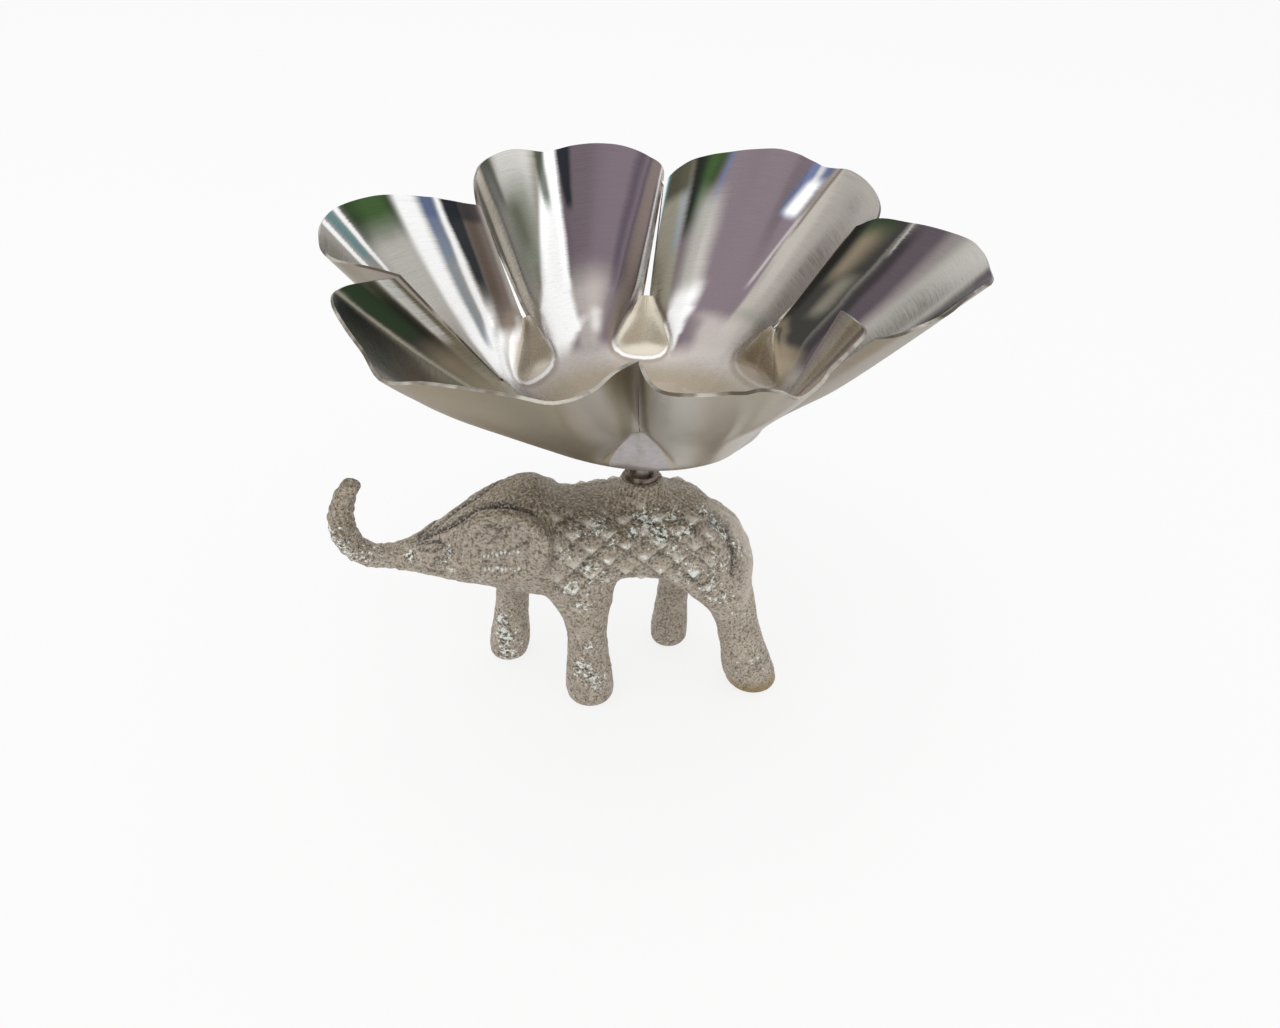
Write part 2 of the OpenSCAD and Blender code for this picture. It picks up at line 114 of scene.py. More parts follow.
def paint_mask(piece, name, values):
    """Keeps one number a vertex as an attribute that the material reads."""
    layer = piece.data.attributes.new(name, "FLOAT", "POINT")
    layer.data.foreach_set("value", np.asarray(values, np.float32))


def step_up(x, low, high):
    share = np.clip((x - low) / (high - low), 0, 1)
    return share * share * (3 - 2 * share)


def hill(away, width):
    return np.exp(-(away / width) ** 2)


def off_path(points, path):
    """Distance from points to a path with as many columns, and how far along it the nearest place is."""
    best = np.full(len(points), 1e9)
    walked = np.zeros(len(points))
    stops = np.asarray(path, float)
    for i in range(len(stops) - 1):
        way = stops[i + 1] - stops[i]
        share = np.clip((points - stops[i]) @ way / (way @ way), 0, 1)
        away = np.linalg.norm(points - stops[i] - share[:, None] * way, axis=1)
        nearer = away < best
        best = np.where(nearer, away, best)
        walked = np.where(nearer, (i + share) / (len(stops) - 1), walked)
    return best, walked


def grit(points, size, seed):
    """Smooth noise from -1 to 1 with lumps of about the given size."""
    shift = Vector((seed, 2.7 * seed, 1.3 * seed))
    return np.array([noise.noise(Vector(p) / size + shift) for p in points])


MERGE_WITHIN, GRAIN_STEP = 0.00002, 0.00035
elephant = new_object("elephant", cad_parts["elephant_casting"].data.copy())
elephant.data.materials.clear()
edit_all(elephant, bpy.ops.mesh.remove_doubles, threshold=MERGE_WITHIN)
apply_modifier(elephant, "REMESH", mode="VOXEL", voxel_size=GRAIN_STEP, adaptivity=0, use_smooth_shade=True)

# The soft shape of the pattern: legs run into the belly in arches, and edges are worn. The drilled
# hole and the seat round its mouth stay true.
SEAT_Z, SEAT_R, CLEAR_OF_SEAT = 50.0, 3.95, 4.4
HOLE_R, HOLE_FOOT_Z, CLEAR_OF_HOLE = 1.62, 36, 2.6
x, y, z = places(elephant).T
from_screw = np.hypot(x, y)
by_hole = (from_screw < CLEAR_OF_HOLE) & (z > HOLE_FOOT_Z)
by_seat = (from_screw < CLEAR_OF_SEAT) & (z > SEAT_Z - 0.8)
trunk_end = x <= -50
legs_and_belly = (z > 15) & (z < 34) & (x > -38) & (x < 30)
head = (x > -38) & (x < -17) & (z > 30) & (z < 52)
body = (x > -17) & (x < 26) & (z > 26)
for region, passes in [(~trunk_end, 6), (trunk_end, 2), (legs_and_belly, 20), (head, 30), (body, 90)]:
    soften(elephant, region & ~by_hole & ~by_seat, 0.5, passes)

p = places(elephant)
x, y, z = p.T
from_screw = np.hypot(x, y)
in_hole = (from_screw < 2.4) & (z > 37.6) & (z < SEAT_Z + 1)
p[in_hole, :2] *= np.maximum(1, HOLE_R / np.maximum(from_screw[in_hole], 0.2))[:, None]
on_seat = (np.hypot(p[:, 0], p[:, 1]) < SEAT_R) & (z > SEAT_Z - 0.7)
p[on_seat, 2] = SEAT_Z
x, y, z = p.T
flank = np.abs(y)
near = y < 0
side_view = np.column_stack([x, z])
near_skin = np.column_stack([x, -flank, z])

# Girth of the body at each place along it: top, underside and half width, in millimetres
GIRTH = np.array([(-20.4, 50.0, 25.5, 10.7), (-15.7, 46.5, 26.4, 11.2), (-10.2, 45.5, 29.1, 11.5),
                  (-3.4, 46.3, 29.8, 11.75), (3.4, 46.3, 28.6, 11.75), (9.4, 45.3, 27.2, 11.6),
                  (14.9, 42.4, 26.4, 11.05), (19.6, 38.3, 26.2, 9.6), (22.6, 34.0, 25.7, 7.1)]).T
top, low, side = (np.interp(x, GIRTH[0], row) for row in GIRTH[1:])
BODY_HALF_W, BODY_SQUARENESS = 11.75, 1.15
height = (z - (top + low) / 2) / ((top - low) / 2)
girth = BODY_HALF_W * np.arctan2(np.sign(height) * np.abs(height) ** BODY_SQUARENESS,
                                 (flank / side) ** BODY_SQUARENESS)

# Overlapping scales of the blanket: each rises to its lower point and drops to the next
SCALE_PITCH, SCALE_RISE, EDGE_SHARE = 6.65, 1.15, 0.12
left_share = (x + girth + 1.4) / SCALE_PITCH
right_share = (x - girth + 0.7) / SCALE_PITCH
left_share = left_share - np.floor(left_share)
right_share = right_share - np.floor(right_share)
left_lift = np.where(left_share < EDGE_SHARE, left_share / EDGE_SHARE, 1 - (left_share - EDGE_SHARE))
right_lift = np.where(right_share > 1 - EDGE_SHARE, (1 - right_share) / EDGE_SHARE, right_share + EDGE_SHARE)
blanket = (step_up(x, -19.5, -16.5) * (1 - step_up(x, 12.0, 15.5)) * step_up(girth, -9.0, -5.0)
           * (1 - step_up(girth, 12.5, 16.0)) * step_up(flank, 2.5, 5.5))
scale_height = left_lift * right_lift
lift = (scale_height - 0.35) * blanket * SCALE_RISE
# Raised edges of the scales get painted highlight and painted glints; their undersides get painted shade
scale_edge_light = step_up(scale_height, 0.40, 0.75) * blanket
shade_of_scale = (1 - step_up(scale_height, 0.04, 0.26)) * blanket


def oval(middle_x, middle_z, half_x, half_z):
    """How far out each vertex lies from the middle of an oval in the side view: 1 on the oval."""
    return np.hypot((x - middle_x) / half_x, (z - middle_z) / half_z)


# Near ear: a soft raised band round a flatter oval, with folds and two rows of punched dashes. The far
# ear is a smaller copy without the dashes.
ear_round = np.where(near, oval(-26.8, 41.0, 8.3, 8.8), oval(-27.4, 36.9, 8.4, 7.0))
ear_inner = np.where(near, oval(-27.1, 43.0, 5.2, 6.3), oval(-27.4, 38.0, 5.4, 4.8))
on_ear = (1 - step_up(ear_round, 0.96, 1.08)) * step_up(flank, 4.5, 6.5)
ear_band = on_ear * step_up(ear_inner, 0.92, 1.18)
ear_floor = on_ear * (1 - step_up(ear_inner, 0.90, 1.08))
outside_ear = hill(ear_round - 1.08, 0.06) * step_up(flank, 4.5, 6.5) * (x < -17)
lift += 0.24 * ear_band - 0.04 * ear_floor - 0.08 * outside_ear

# Grooves cut in the pattern, as paths over the near side or in the side view, with depth and half width
SKIN_GROOVES = [
    # The brow, from the root of the trunk over the top of the ear
    ([(-46.2, 0.0, 37.6), (-41.8, -0.6, 39.4), (-37.8, -1.6, 41.8), (-34.3, -2.3, 44.2), (-32.1, -2.3, 45.7),
      (-29.6, -3.0, 47.2), (-26.7, -4.6, 48.2), (-24.0, -6.5, 47.9), (-22.0, -7.5, 47.4),
      (-20.0, -8.2, 46.2)], 0.85, 0.70),
    # The lids of the eye and the crease under it
    ([(-44.0, -1.2, 38.0), (-41.8, -2.2, 39.0), (-39.6, -3.6, 39.8), (-37.9, -4.8, 40.0)], 0.45, 0.38),
    ([(-44.0, -2.2, 37.6), (-42.2, -3.6, 38.0), (-40.5, -4.7, 38.4), (-37.9, -5.2, 40.0)], 0.34, 0.34),
    ([(-41.0, -5.6, 36.6), (-38.5, -6.2, 37.8), (-37.1, -6.4, 39.6), (-35.6, -6.4, 42.8)], 0.26, 0.5),
]
SIDE_GROOVES = [
    # The mouth
    ([(-44.7, 33.9), (-42.5, 34.5), (-40.4, 33.9), (-38.0, 34.3)], 0.40, 0.45),
    # Folds inside the ear
    ([(-31.2, 46.4), (-29.6, 47.3), (-28.0, 47.5)], 0.34, 0.40),
    ([(-28.6, 45.4), (-27.0, 46.9), (-25.6, 47.2)], 0.38, 0.42),
    ([(-30.2, 43.6), (-28.2, 44.9), (-26.2, 45.2)], 0.34, 0.40),
    ([(-25.4, 43.0), (-23.6, 44.0), (-22.0, 45.2)], 0.30, 0.40),
    # The fold before the tail
    ([(12.6, 43.9), (14.3, 42.2), (16.3, 39.9), (17.6, 36.8), (17.7, 34.4), (17.3, 31.2)], 0.75, 0.80),
    # Creases of the blanket's front and lower edges
    ([(-18.8, 44.0), (-18.9, 38.5), (-18.0, 33.0), (-15.5, 28.5)], 0.10, 0.6),
    ([(7.0, 33.0), (9.6, 32.0), (12.3, 31.2), (15.5, 33.4)], 0.22, 0.5),
]
# Painted shade: each groove, the edge round the ear, the low grains and the underside of each scale are
# darkened in the colour
painted_shade = np.zeros(len(x))
for path, depth, width in SKIN_GROOVES:
    away, walked = off_path(near_skin, path)
    cut = hill(away, width) * step_up(walked, 0.0, 0.08) * (1 - step_up(walked, 0.90, 1.0))
    lift -= depth * cut
    painted_shade = np.maximum(painted_shade, cut * (0.6 + 0.4 * (depth > 0.4)) * 1.25)
for path, depth, width in SIDE_GROOVES:
    away, walked = off_path(side_view, path)
    cut = hill(away, width) * step_up(walked, 0.0, 0.12) * (1 - step_up(walked, 0.88, 1.0))
    cut *= step_up(flank, 2.0, 4.0)
    lift -= depth * cut
    painted_shade = np.maximum(painted_shade, cut * min(1.0, 1.45 * depth))

# The eyeball between the lids, and the ridge of the brow above its crease
EYEBALL = [(-42.4, -2.8, 38.2), (-40.2, -4.0, 38.9)]
BROW_RIDGE = [(-40.0, -0.8, 42.0), (-35.5, -1.6, 45.4), (-31.5, -2.0, 48.4), (-27.0, -3.6, 50.0)]
for path, high, wide in [(EYEBALL, 0.30, 0.55), (BROW_RIDGE, 0.22, 1.0)]:
    away, _ = off_path(near_skin, path)
    lift += high * hill(away, wide)

# Two rows of dashes: the height of the first dash and the slope of the row
DASH_STEP, FIRST_DASH_X = 0.78, -31.0
dashes = np.zeros(len(x))
for row_z, slope in [(40.9, 0.22), (38.2, 0.07)]:
    for i in range(9):
        middle = FIRST_DASH_X + DASH_STEP * i
        height_here = z - row_z - slope * DASH_STEP * i - 0.25 * math.sin(2.4 * i + row_z)
        away = np.hypot((x - middle) / (0.24 + 0.08 * math.sin(5 * i)), height_here / 0.45)
        dashes = np.maximum(dashes, np.exp(-away ** 2))
dashes *= on_ear * near
lift += 0.30 * dashes

# Rings of skin round the trunk, from its root to the tip
TRUNK = [(-47.0, 35.0), (-50.5, 35.0), (-54.0, 36.0), (-56.6, 39.2), (-57.1, 43.0), (-56.5, 47.0),
         (-54.2, 51.6)]
TRUNK_RINGS = 11.5
_, walked = off_path(side_view, TRUNK)
on_trunk = step_up(-x, 46.0, 48.0)
lift += 0.09 * on_trunk * np.sin(walked * 2 * math.pi * TRUNK_RINGS) * (1 - step_up(walked, 0.93, 0.98))

# The tail's ridge down the rump
TAIL = [(13.6, 44.6), (17.0, 42.0), (19.8, 38.2), (21.2, 34.4), (21.4, 30.2), (20.6, 25.6)]
away, walked = off_path(side_view, TAIL)
on_tail = hill(away, 1.25) * (y < 2) * step_up(flank, 0.3, 1.5)
lift += 0.60 * on_tail * (1 - step_up(walked, 0.85, 1.0))

# Sand: lumps of several sizes all over, the seat left flat
lumps = grit(p, 3.4, 3.0)
grains = grit(p, 1.25, 11.0)
fine = grit(p, 0.62, 23.0)
lift += 0.12 * lumps + 0.09 * grains + 0.06 * fine
lift *= 1 - (1 - step_up(from_screw, 3.9, 5.4)) * step_up(z, 45.0, 47.0)
lift *= np.where((from_screw < CLEAR_OF_HOLE) & (z > HOLE_FOOT_Z), 0, 1) * step_up(z, 0.15, 1.4)
set_places(elephant, p + normals_of(elephant) * lift[:, None])

# Masks for the material: painted shade in hollows and under the scales, painted glints in clusters, a painted
# reflection of the bowl on the top with a browner tone, painted highlight on the scales' edges, bare brass
shade_under_scales = (0.42 + 0.25 * step_up(-lumps, -0.1, 0.3)) * shade_of_scale
painted_shade = np.clip(painted_shade + shade_under_scales + 0.10 * outside_ear - 0.45 * np.minimum(grains, 0), 0, 1)
# Painted glints: the raised edges of the scales and the dashes get bright specks painted into the colour
painted_gleam = scale_edge_light * (0.30 + 0.45 * step_up(lumps, -0.1, 0.3)) + 0.5 * dashes
# Clusters of painted glints: the middle of each, its reach and its strength
GLINTS = [
    ((-12.6, -11.6, 27.9), 2.4, 0.75), ((-11.9, -11.3, 16.5), 1.8, 0.7), ((-12.9, -11.3, 11.4), 2.2, 0.95),
    ((-9.7, -12.1, 7.4), 2.4, 0.8), ((-11.2, -12.0, 9.2), 2.0, 0.9), ((-28.3, 4.3, 11.5), 2.6, 0.9),
    ((-27.9, 3.6, 7.6), 2.8, 1.0), ((-27.5, 3.2, 3.2), 2.6, 0.95), ((12.6, -11.3, 31.3), 3.0, 0.75),
    ((15.5, -11.6, 28.0), 2.8, 0.6), ((19.3, -11.3, 23.2), 2.4, 0.5), ((24.1, -11.4, 10.4), 3.0, 0.55),
    ((9.5, 4.0, 2.0), 2.4, 0.5), ((-59.7, -0.6, 41.5), 2.6, 0.9), ((-57.8, -2.1, 39.4), 2.8, 0.85),
    ((-55.2, -2.3, 36.6), 2.4, 0.75), ((-52.9, -2.2, 35.8), 2.0, 0.75), ((-50.8, -1.7, 36.3), 1.8, 0.6),
    ((-44.8, -3.2, 36.7), 1.5, 1.0), ((-37.1, -6.4, 39.3), 1.8, 0.55), ((-38.4, -6.8, 36.2), 1.8, 0.6),
    ((-31.3, -8.3, 33.3), 1.7, 0.7), ((-12.6, -8.8, 43.6), 2.2, 0.7), ((-9.7, -7.6, 44.6), 2.4, 0.9),
    ((0.1, -8.2, 45.0), 2.4, 1.0), ((2.2, -10.4, 43.0), 2.2, 1.0), ((-2.4, -9.4, 43.8), 2.2, 0.8),
    ((5.5, -6.9, 45.0), 2.2, 0.9), ((7.4, -9.8, 43.0), 2.0, 0.8), ((12.2, -4.7, 43.7), 2.2, 0.8),
    ((14.5, -5.8, 42.0), 1.9, 0.9), ((16.3, -7.3, 40.0), 1.8, 0.9), ((18.2, -8.0, 37.0), 1.7, 0.8),
    ((5.3, -11.7, 40.7), 2.0, 0.7), ((8.6, -11.7, 34.7), 2.6, 0.8), ((12.3, -11.3, 31.6), 2.4, 0.75),
    ((14.8, -11.1, 35.4), 2.6, 0.75), ((-12.0, -11.4, 36.8), 2.4, 0.85), ((-15.1, -10.8, 31.9), 2.0, 0.8),
    ((-16.0, -10.9, 40.1), 2.2, 0.7), ((-9.2, -11.4, 34.0), 2.2, 0.8), ((-7.0, -9.6, 42.0), 1.8, 0.75),
    ((10.0, 9.0, 38.0), 5.0, 0.55), ((-8.0, 10.0, 38.0), 5.0, 0.55), ((24.0, 8.0, 9.0), 3.5, 0.5),
]
for centre, reach, amount in GLINTS:
    away = np.linalg.norm(p - np.array(centre), axis=1)
    painted_gleam = np.maximum(painted_gleam, amount * hill(away, 1.2 * reach))
facing_up = np.clip(normals_of(elephant)[:, 2], 0, 1)
# Painted reflection of the bowl on the upward-facing top, with a browner tone on the upper trunk and at
# random in lumps
top_bowl_reflection = step_up(z, 40.5, 45.5) * 0.95 * step_up(facing_up, 0.10, 0.62)
browner_upper_trunk = 0.45 * on_trunk * step_up(z, 36, 44)
bowl_reflection_and_tone = np.clip(top_bowl_reflection + browner_upper_trunk + 0.35 * step_up(lumps, 0.0, 0.5), 0, 1)
brassy = step_up(x, 17.5, 20.5) * (1 - step_up(z, 1.6, 5.0)) * near
# Painted highlight on the raised edges of the scales and on the tail's ridge
painted_ridge_light = np.maximum(scale_edge_light, 0.6 * on_tail)
masks = {"painted_shade": painted_shade, "painted_gleam": painted_gleam, "bowl_reflection_and_tone": bowl_reflection_and_tone, "brassy": brassy, "ear_band": ear_band,
         "ear_floor": ear_floor, "painted_ridge_light": painted_ridge_light, "dashes": dashes}
for name, values in masks.items():
    paint_mask(elephant, name, values)
select_only(elephant)
bpy.ops.object.shade_smooth()


def as_seen(red, green, blue):
    """A colour given as it looks on a screen, from 0 to 1, in the linear values that a shader takes."""
    shades = (red, green, blue)
    return tuple(v / 12.92 if v <= 0.04045 else ((v + 0.055) / 1.055) ** 2.4 for v in shades) + (1,)


def fill(tree, node, sockets):
    """Fills sockets of a node with values or with other nodes' outputs."""
    for socket, value in sockets.items():
        if isinstance(value, bpy.types.NodeSocket):
            tree.links.new(value, node.inputs[socket])
        else:
            node.inputs[socket].default_value = value


def add_node(tree, kind, sockets=None, **settings):
    node = tree.nodes.new(kind)
    for setting, value in settings.items():
        setattr(node, setting, value)
    fill(tree, node, sockets or {})
    return node


def maths(tree, operation, *values):
    return add_node(tree, "ShaderNodeMath", dict(enumerate(values)), operation=operation).outputs[0]


def times(tree, first, second):
    return maths(tree, "MULTIPLY", first, second)


def blend(tree, factor, first, second, mode="MIX"):
    sockets = {0: factor, 6: first, 7: second}
    return add_node(tree, "ShaderNodeMix", sockets, data_type="RGBA", blend_type=mode).outputs[2]


def tint(tree, mask, share, colour, tone):
    """Lays a tone, given as it looks on a screen, over a colour by a share of a mask."""
    return blend(tree, times(tree, mask, share), colour, as_seen(*tone))


def ramp(tree, value, low, high, to_low=0.0, to_high=1.0, shape="SMOOTHSTEP"):
    sockets = {0: value, 1: low, 2: high, 3: to_low, 4: to_high}
    return add_node(tree, "ShaderNodeMapRange", sockets, interpolation_type=shape).outputs[0]


def new_material(name):
    material = bpy.data.materials.new(name)
    material.use_nodes = True
    tree = material.node_tree
    return material, tree, tree.nodes["Principled BSDF"]


def own_space(tree):
    """Places in the piece's own space, in millimetres."""
    space = add_node(tree, "ShaderNodeTexCoord").outputs["Object"]
    return add_node(tree, "ShaderNodeMapping", {0: space, "Scale": (1 / MM, 1 / MM, 1 / MM)}).outputs[0]


def mask_of(tree, name):
    return add_node(tree, "ShaderNodeAttribute", attribute_name=name).outputs["Fac"]


def cloud(tree, space, scale, detail=2.0, rough=0.5, stretch=(1, 1, 1)):
    if stretch != (1, 1, 1):
        space = add_node(tree, "ShaderNodeMapping", {0: space, "Scale": stretch}).outputs[0]
    sockets = {"Vector": space, "Scale": scale, "Detail": detail, "Roughness": rough}
    return add_node(tree, "ShaderNodeTexNoise", sockets).outputs[0]


def bumps(tree, heights, strength, distance=0.0001):
    sockets = {"Height": heights, "Strength": strength, "Distance": distance}
    return add_node(tree, "ShaderNodeBump", sockets).outputs[0]


def new_group(name, inputs, outputs):
    """A node group with named sockets, each given with its kind: its tree, its inputs and its end node."""
    tree = bpy.data.node_groups.new(name, "ShaderNodeTree")
    for side, sockets in [("INPUT", inputs), ("OUTPUT", outputs)]:
        for socket, kind in sockets.items():
            tree.interface.new_socket(socket, in_out=side, socket_type="NodeSocket" + kind)
    return tree, tree.nodes.new("NodeGroupInput").outputs, tree.nodes.new("NodeGroupOutput")


sand_cast, tree, shader = new_material("sand_cast_silver_plate")
space = own_space(tree)
lump_cloud = cloud(tree, space, 0.32, 3.0)
skin_cloud = cloud(tree, space, 0.8, 4.0, 0.65)
grain_cloud = cloud(tree, space, 1.9, 2.0, 0.65)
speck_cloud = cloud(tree, space, 1.05, 4.0, 0.75)
colour = blend(tree, ramp(tree, lump_cloud, 0.35, 0.65),
               as_seen(0.715, 0.66, 0.59), as_seen(0.785, 0.735, 0.665))
colour = tint(tree, mask_of(tree, "ear_floor"), 0.2, colour, (0.52, 0.485, 0.465))
colour = tint(tree, mask_of(tree, "ear_band"), 0.7, colour, (0.74, 0.685, 0.62))
colour = tint(tree, ramp(tree, skin_cloud, 0.35, 0.7), 0.55, colour, (0.51, 0.47, 0.42))
# Painted reflection of the bowl on the top, with a browner tone on the upper trunk and at random
colour = tint(tree, mask_of(tree, "bowl_reflection_and_tone"), 0.8, colour, (0.545, 0.49, 0.40))
# Painted shade in the grooves, round the ear, in low grains and under the scales
colour = tint(tree, mask_of(tree, "painted_shade"), 0.85, colour, (0.20, 0.185, 0.165))
pits = ramp(tree, grain_cloud, 0.45, 0.38)
colour = tint(tree, pits, 0.68, colour, (0.29, 0.27, 0.235))
# Painted highlight on the scales' raised edges and the tail's ridge
colour = tint(tree, mask_of(tree, "painted_ridge_light"), 0.8, colour, (0.90, 0.86, 0.81))
crests = ramp(tree, grain_cloud, 0.53, 0.60)
colour = tint(tree, crests, 0.60, colour, (0.80, 0.77, 0.73))
# Painted glints: bright specks painted where the mask of painted glints is high, dark painted shadows beside
# them, and painted glints on the dashes
painted_gleam_mask = mask_of(tree, "painted_gleam")
bright_from = maths(tree, "SUBTRACT", 0.675, times(tree, painted_gleam_mask, 0.20))
glints = ramp(tree, speck_cloud, bright_from, maths(tree, "ADD", bright_from, 0.02))
dark_from = maths(tree, "ADD", 0.31, times(tree, painted_gleam_mask, 0.17))
shadows = ramp(tree, speck_cloud, dark_from, maths(tree, "SUBTRACT", dark_from, 0.03), 0.0, 0.85)
colour = blend(tree, shadows, colour, as_seen(0.22, 0.235, 0.21))
glints = maths(tree, "MAXIMUM", glints, ramp(tree, mask_of(tree, "dashes"), 0.28, 0.65, 0.0, 0.8))
colour = blend(tree, glints, colour, as_seen(0.93, 0.955, 0.93))
colour = tint(tree, mask_of(tree, "brassy"), 0.7, colour, (0.58, 0.49, 0.27))
heights = maths(tree, "ADD", grain_cloud, times(tree, skin_cloud, 0.6))
fill(tree, shader, {"Base Color": colour, "Metallic": 0.45, "Normal": bumps(tree, heights, 1.0, 0.0005),
                    "Roughness": ramp(tree, glints, 0.0, 1.0, 0.50, 0.28, "LINEAR")})

elephant.data.materials.append(sand_cast)
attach(elephant, "stand")
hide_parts("elephant_casting")

# Foot ring and spacer post
# A turned ring and a turned post of plated brass, threaded loosely on the bowl's screw. They keep the
# bowl clear of the elephant's back.


def plating_group():
    """Worn plating: a mask of bare patches, a value for the roughness, and fine turning marks."""
    tree, entry, leave = new_group("worn_plating", {"Place": "Vector", "Patch scale": "Float"},
                                   dict.fromkeys(("Bare", "Dullness", "Marks"), "Float"))
    patches = cloud(tree, entry[0], entry[1], 4.0, 0.6)
    marks = cloud(tree, entry[0], 1.0, 2.0, 0.5, (0.5, 0.5, 9.0))
    bare = ramp(tree, patches, 0.48, 0.68)
    fill(tree, leave, {0: bare, 1: ramp(tree, patches, 0.3, 0.7, 0.24, 0.42), 2: marks})
    return tree


WORN_PLATING = plating_group()


def turned_metal(name, colour, bare_colour, patch_scale):
    material, tree, shader = new_material(name)
    sockets = {0: own_space(tree), 1: patch_scale}
    bare, dullness, marks = add_node(tree, "ShaderNodeGroup", sockets, node_tree=WORN_PLATING).outputs
    tone = blend(tree, bare, as_seen(*colour), as_seen(*bare_colour))
    lines = ramp(tree, marks, 0.38, 0.62, 0.0, 0.35)
    tone = blend(tree, lines, tone, as_seen(*(0.62 * v for v in colour)))
    fill(tree, shader, {"Base Color": tone, "Roughness": dullness, "Metallic": 1.0,
                        "Normal": bumps(tree, marks, 0.35)})
    return material


def dress_node(name, material):
    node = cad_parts[name]
    node.data.materials.clear()
    node.data.materials.append(material)
    select_only(node)
    bpy.ops.object.shade_smooth_by_angle(angle=math.radians(35))


dress_node("foot_ring", turned_metal("ring_plate", (0.56, 0.52, 0.48), (0.36, 0.31, 0.26), 0.7))
dress_node("spacer_post", turned_metal("post_plate", (0.58, 0.54, 0.50), (0.34, 0.29, 0.24), 0.5))

# Petal bowl
# A disc of thin plated sheet, pressed to a shallow dish with six noses, slit from the rim down to each
# nose, and bent up by hand into six troughs. It is brushed crosswise and bright. Each petal carries long
# streaks of painted reflection between its creases, and the noses' pads carry painted shade and highlights.
BOWL_R, BOWL_H, SHEET = 55.0, 42.8, 0.5
PETAL_TURN, FLOOR_R, DISH_R, DISH_H = 47.2, 9.0, 22.5, 7.8
SLIT_W, SLIT_END_R, SLIT_END_H, TROUGH_R = 1.2, 27.5, 17.8, 35.6
NOSE_W, NOSE_CREASE, BORE_R, FLOOR_Z = 11.4, 0.5, 1.58, 57.2
PITCH, HALF_PITCH = 60.0, 30.0

# The rim of each petal: how far round, how far out and how high, as shares
RIMS = [
    [(-1.00, 0.86, 0.88), (-0.90, 0.905, 0.91), (-0.72, 0.96, 0.94), (-0.48, 1.03, 0.955),
     (-0.32, 1.045, 0.965), (-0.22, 1.00, 0.968), (-0.14, 0.995, 0.978), (0.02, 1.025, 0.99),
     (0.18, 1.02, 1.00), (0.34, 0.975, 0.995), (0.57, 0.915, 0.977), (0.76, 0.865, 0.95),
     (0.90, 0.82, 0.91), (1.00, 0.775, 0.862)],
    [(-1.00, 0.775, 0.862), (-0.99, 0.83, 0.914), (-0.87, 0.87, 0.95), (-0.66, 0.92, 0.978),
     (-0.45, 0.93, 0.987), (-0.25, 0.915, 0.985), (-0.10, 0.892, 0.978), (-0.02, 0.888, 0.97),
     (0.10, 0.905, 0.98), (0.26, 0.916, 0.988), (0.46, 0.885, 0.985), (0.64, 0.84, 0.975),
     (0.84, 0.78, 0.94), (1.00, 0.712, 0.871)],
    [(-1.00, 0.70, 0.867), (-0.85, 0.72, 0.89), (-0.70, 0.768, 0.918), (-0.57, 0.815, 0.935),
     (-0.42, 0.88, 0.952), (-0.26, 0.925, 0.96), (-0.05, 0.98, 0.953), (0.15, 0.996, 0.93),
     (0.32, 0.985, 0.907), (0.47, 0.968, 0.897), (0.62, 0.935, 0.895), (0.74, 0.88, 0.90),
     (0.88, 0.825, 0.902), (1.00, 0.78, 0.897)],
    [(-1.00, 0.792, 0.897), (-1.00, 0.856, 0.897), (-0.97, 0.935, 0.893), (-0.86, 0.98, 0.883),
     (-0.58, 1.00, 0.855), (-0.38, 1.013, 0.827), (-0.17, 1.04, 0.792), (0.02, 1.00, 0.808),
     (0.26, 0.962, 0.81), (0.45, 0.95, 0.81), (0.63, 0.936, 0.802), (0.78, 0.882, 0.818),
     (0.88, 0.79, 0.836), (1.00, 0.714, 0.836)],
    [(-1.00, 0.731, 0.836), (-0.94, 0.813, 0.827), (-0.86, 0.868, 0.826), (-0.73, 0.898, 0.837),
     (-0.57, 0.907, 0.846), (-0.40, 0.90, 0.847), (-0.29, 0.913, 0.843), (-0.21, 0.95, 0.838),
     (-0.05, 0.915, 0.852), (0.10, 0.868, 0.864), (0.37, 0.815, 0.87), (0.62, 0.772, 0.87),
     (0.74, 0.712, 0.869), (0.88, 0.644, 0.86)],
    [(-1.15, 0.753, 0.80), (-1.14, 0.809, 0.827), (-1.05, 0.854, 0.86), (-0.87, 0.90, 0.888),
     (-0.66, 0.925, 0.903), (-0.44, 0.964, 0.907), (-0.33, 0.992, 0.907), (-0.13, 0.996, 0.918),
     (0.10, 1.003, 0.925), (0.31, 0.998, 0.925), (0.55, 0.945, 0.92), (0.78, 0.891, 0.908),
     (0.95, 0.835, 0.898), (1.00, 0.764, 0.871)],
]
# The trough of each petal at the height of the slit ends: where its line lies, how deep and how round it
# is, and how far the wall above it bellies out
TROUGHS = [(-0.18, 1.05, 2.6, 0.0), (-0.05, 1.0, 2.8, 0.0), (0.05, 1.0, 2.6, 0.02),
           (-0.08, 1.15, 2.0, 0.07), (-0.15, 0.5, 1.4, 0.03), (0.0, 0.95, 2.4, 0.02)]
# How open the slit after each petal is, how far its lower end and the foot of the nose under it are
# turned round the bowl, and how far out that foot lies
SLITS = [1, 1, 0.35, 0.07, 0.35, 0.35]
SLIT_TURNS = [0.127, 0.05, 0.045, 0.013, 0, 0.117]
FOOT_TURNS = [0.127, 0.22, 0.05, 0.013, 0, 0.12]
FOOT_REACH = [1.05, 1.12, 1.03, 1, 1, 1.17]
FOOT_RISE, NOSE_FLARE, FOOT_FLAT = 0.8, 0.7, 4
# Width of a petal at its rim, and how much of it is lost by the slit ends
RIM_SPAN, SPAN_LOST = 52.0, 20.0
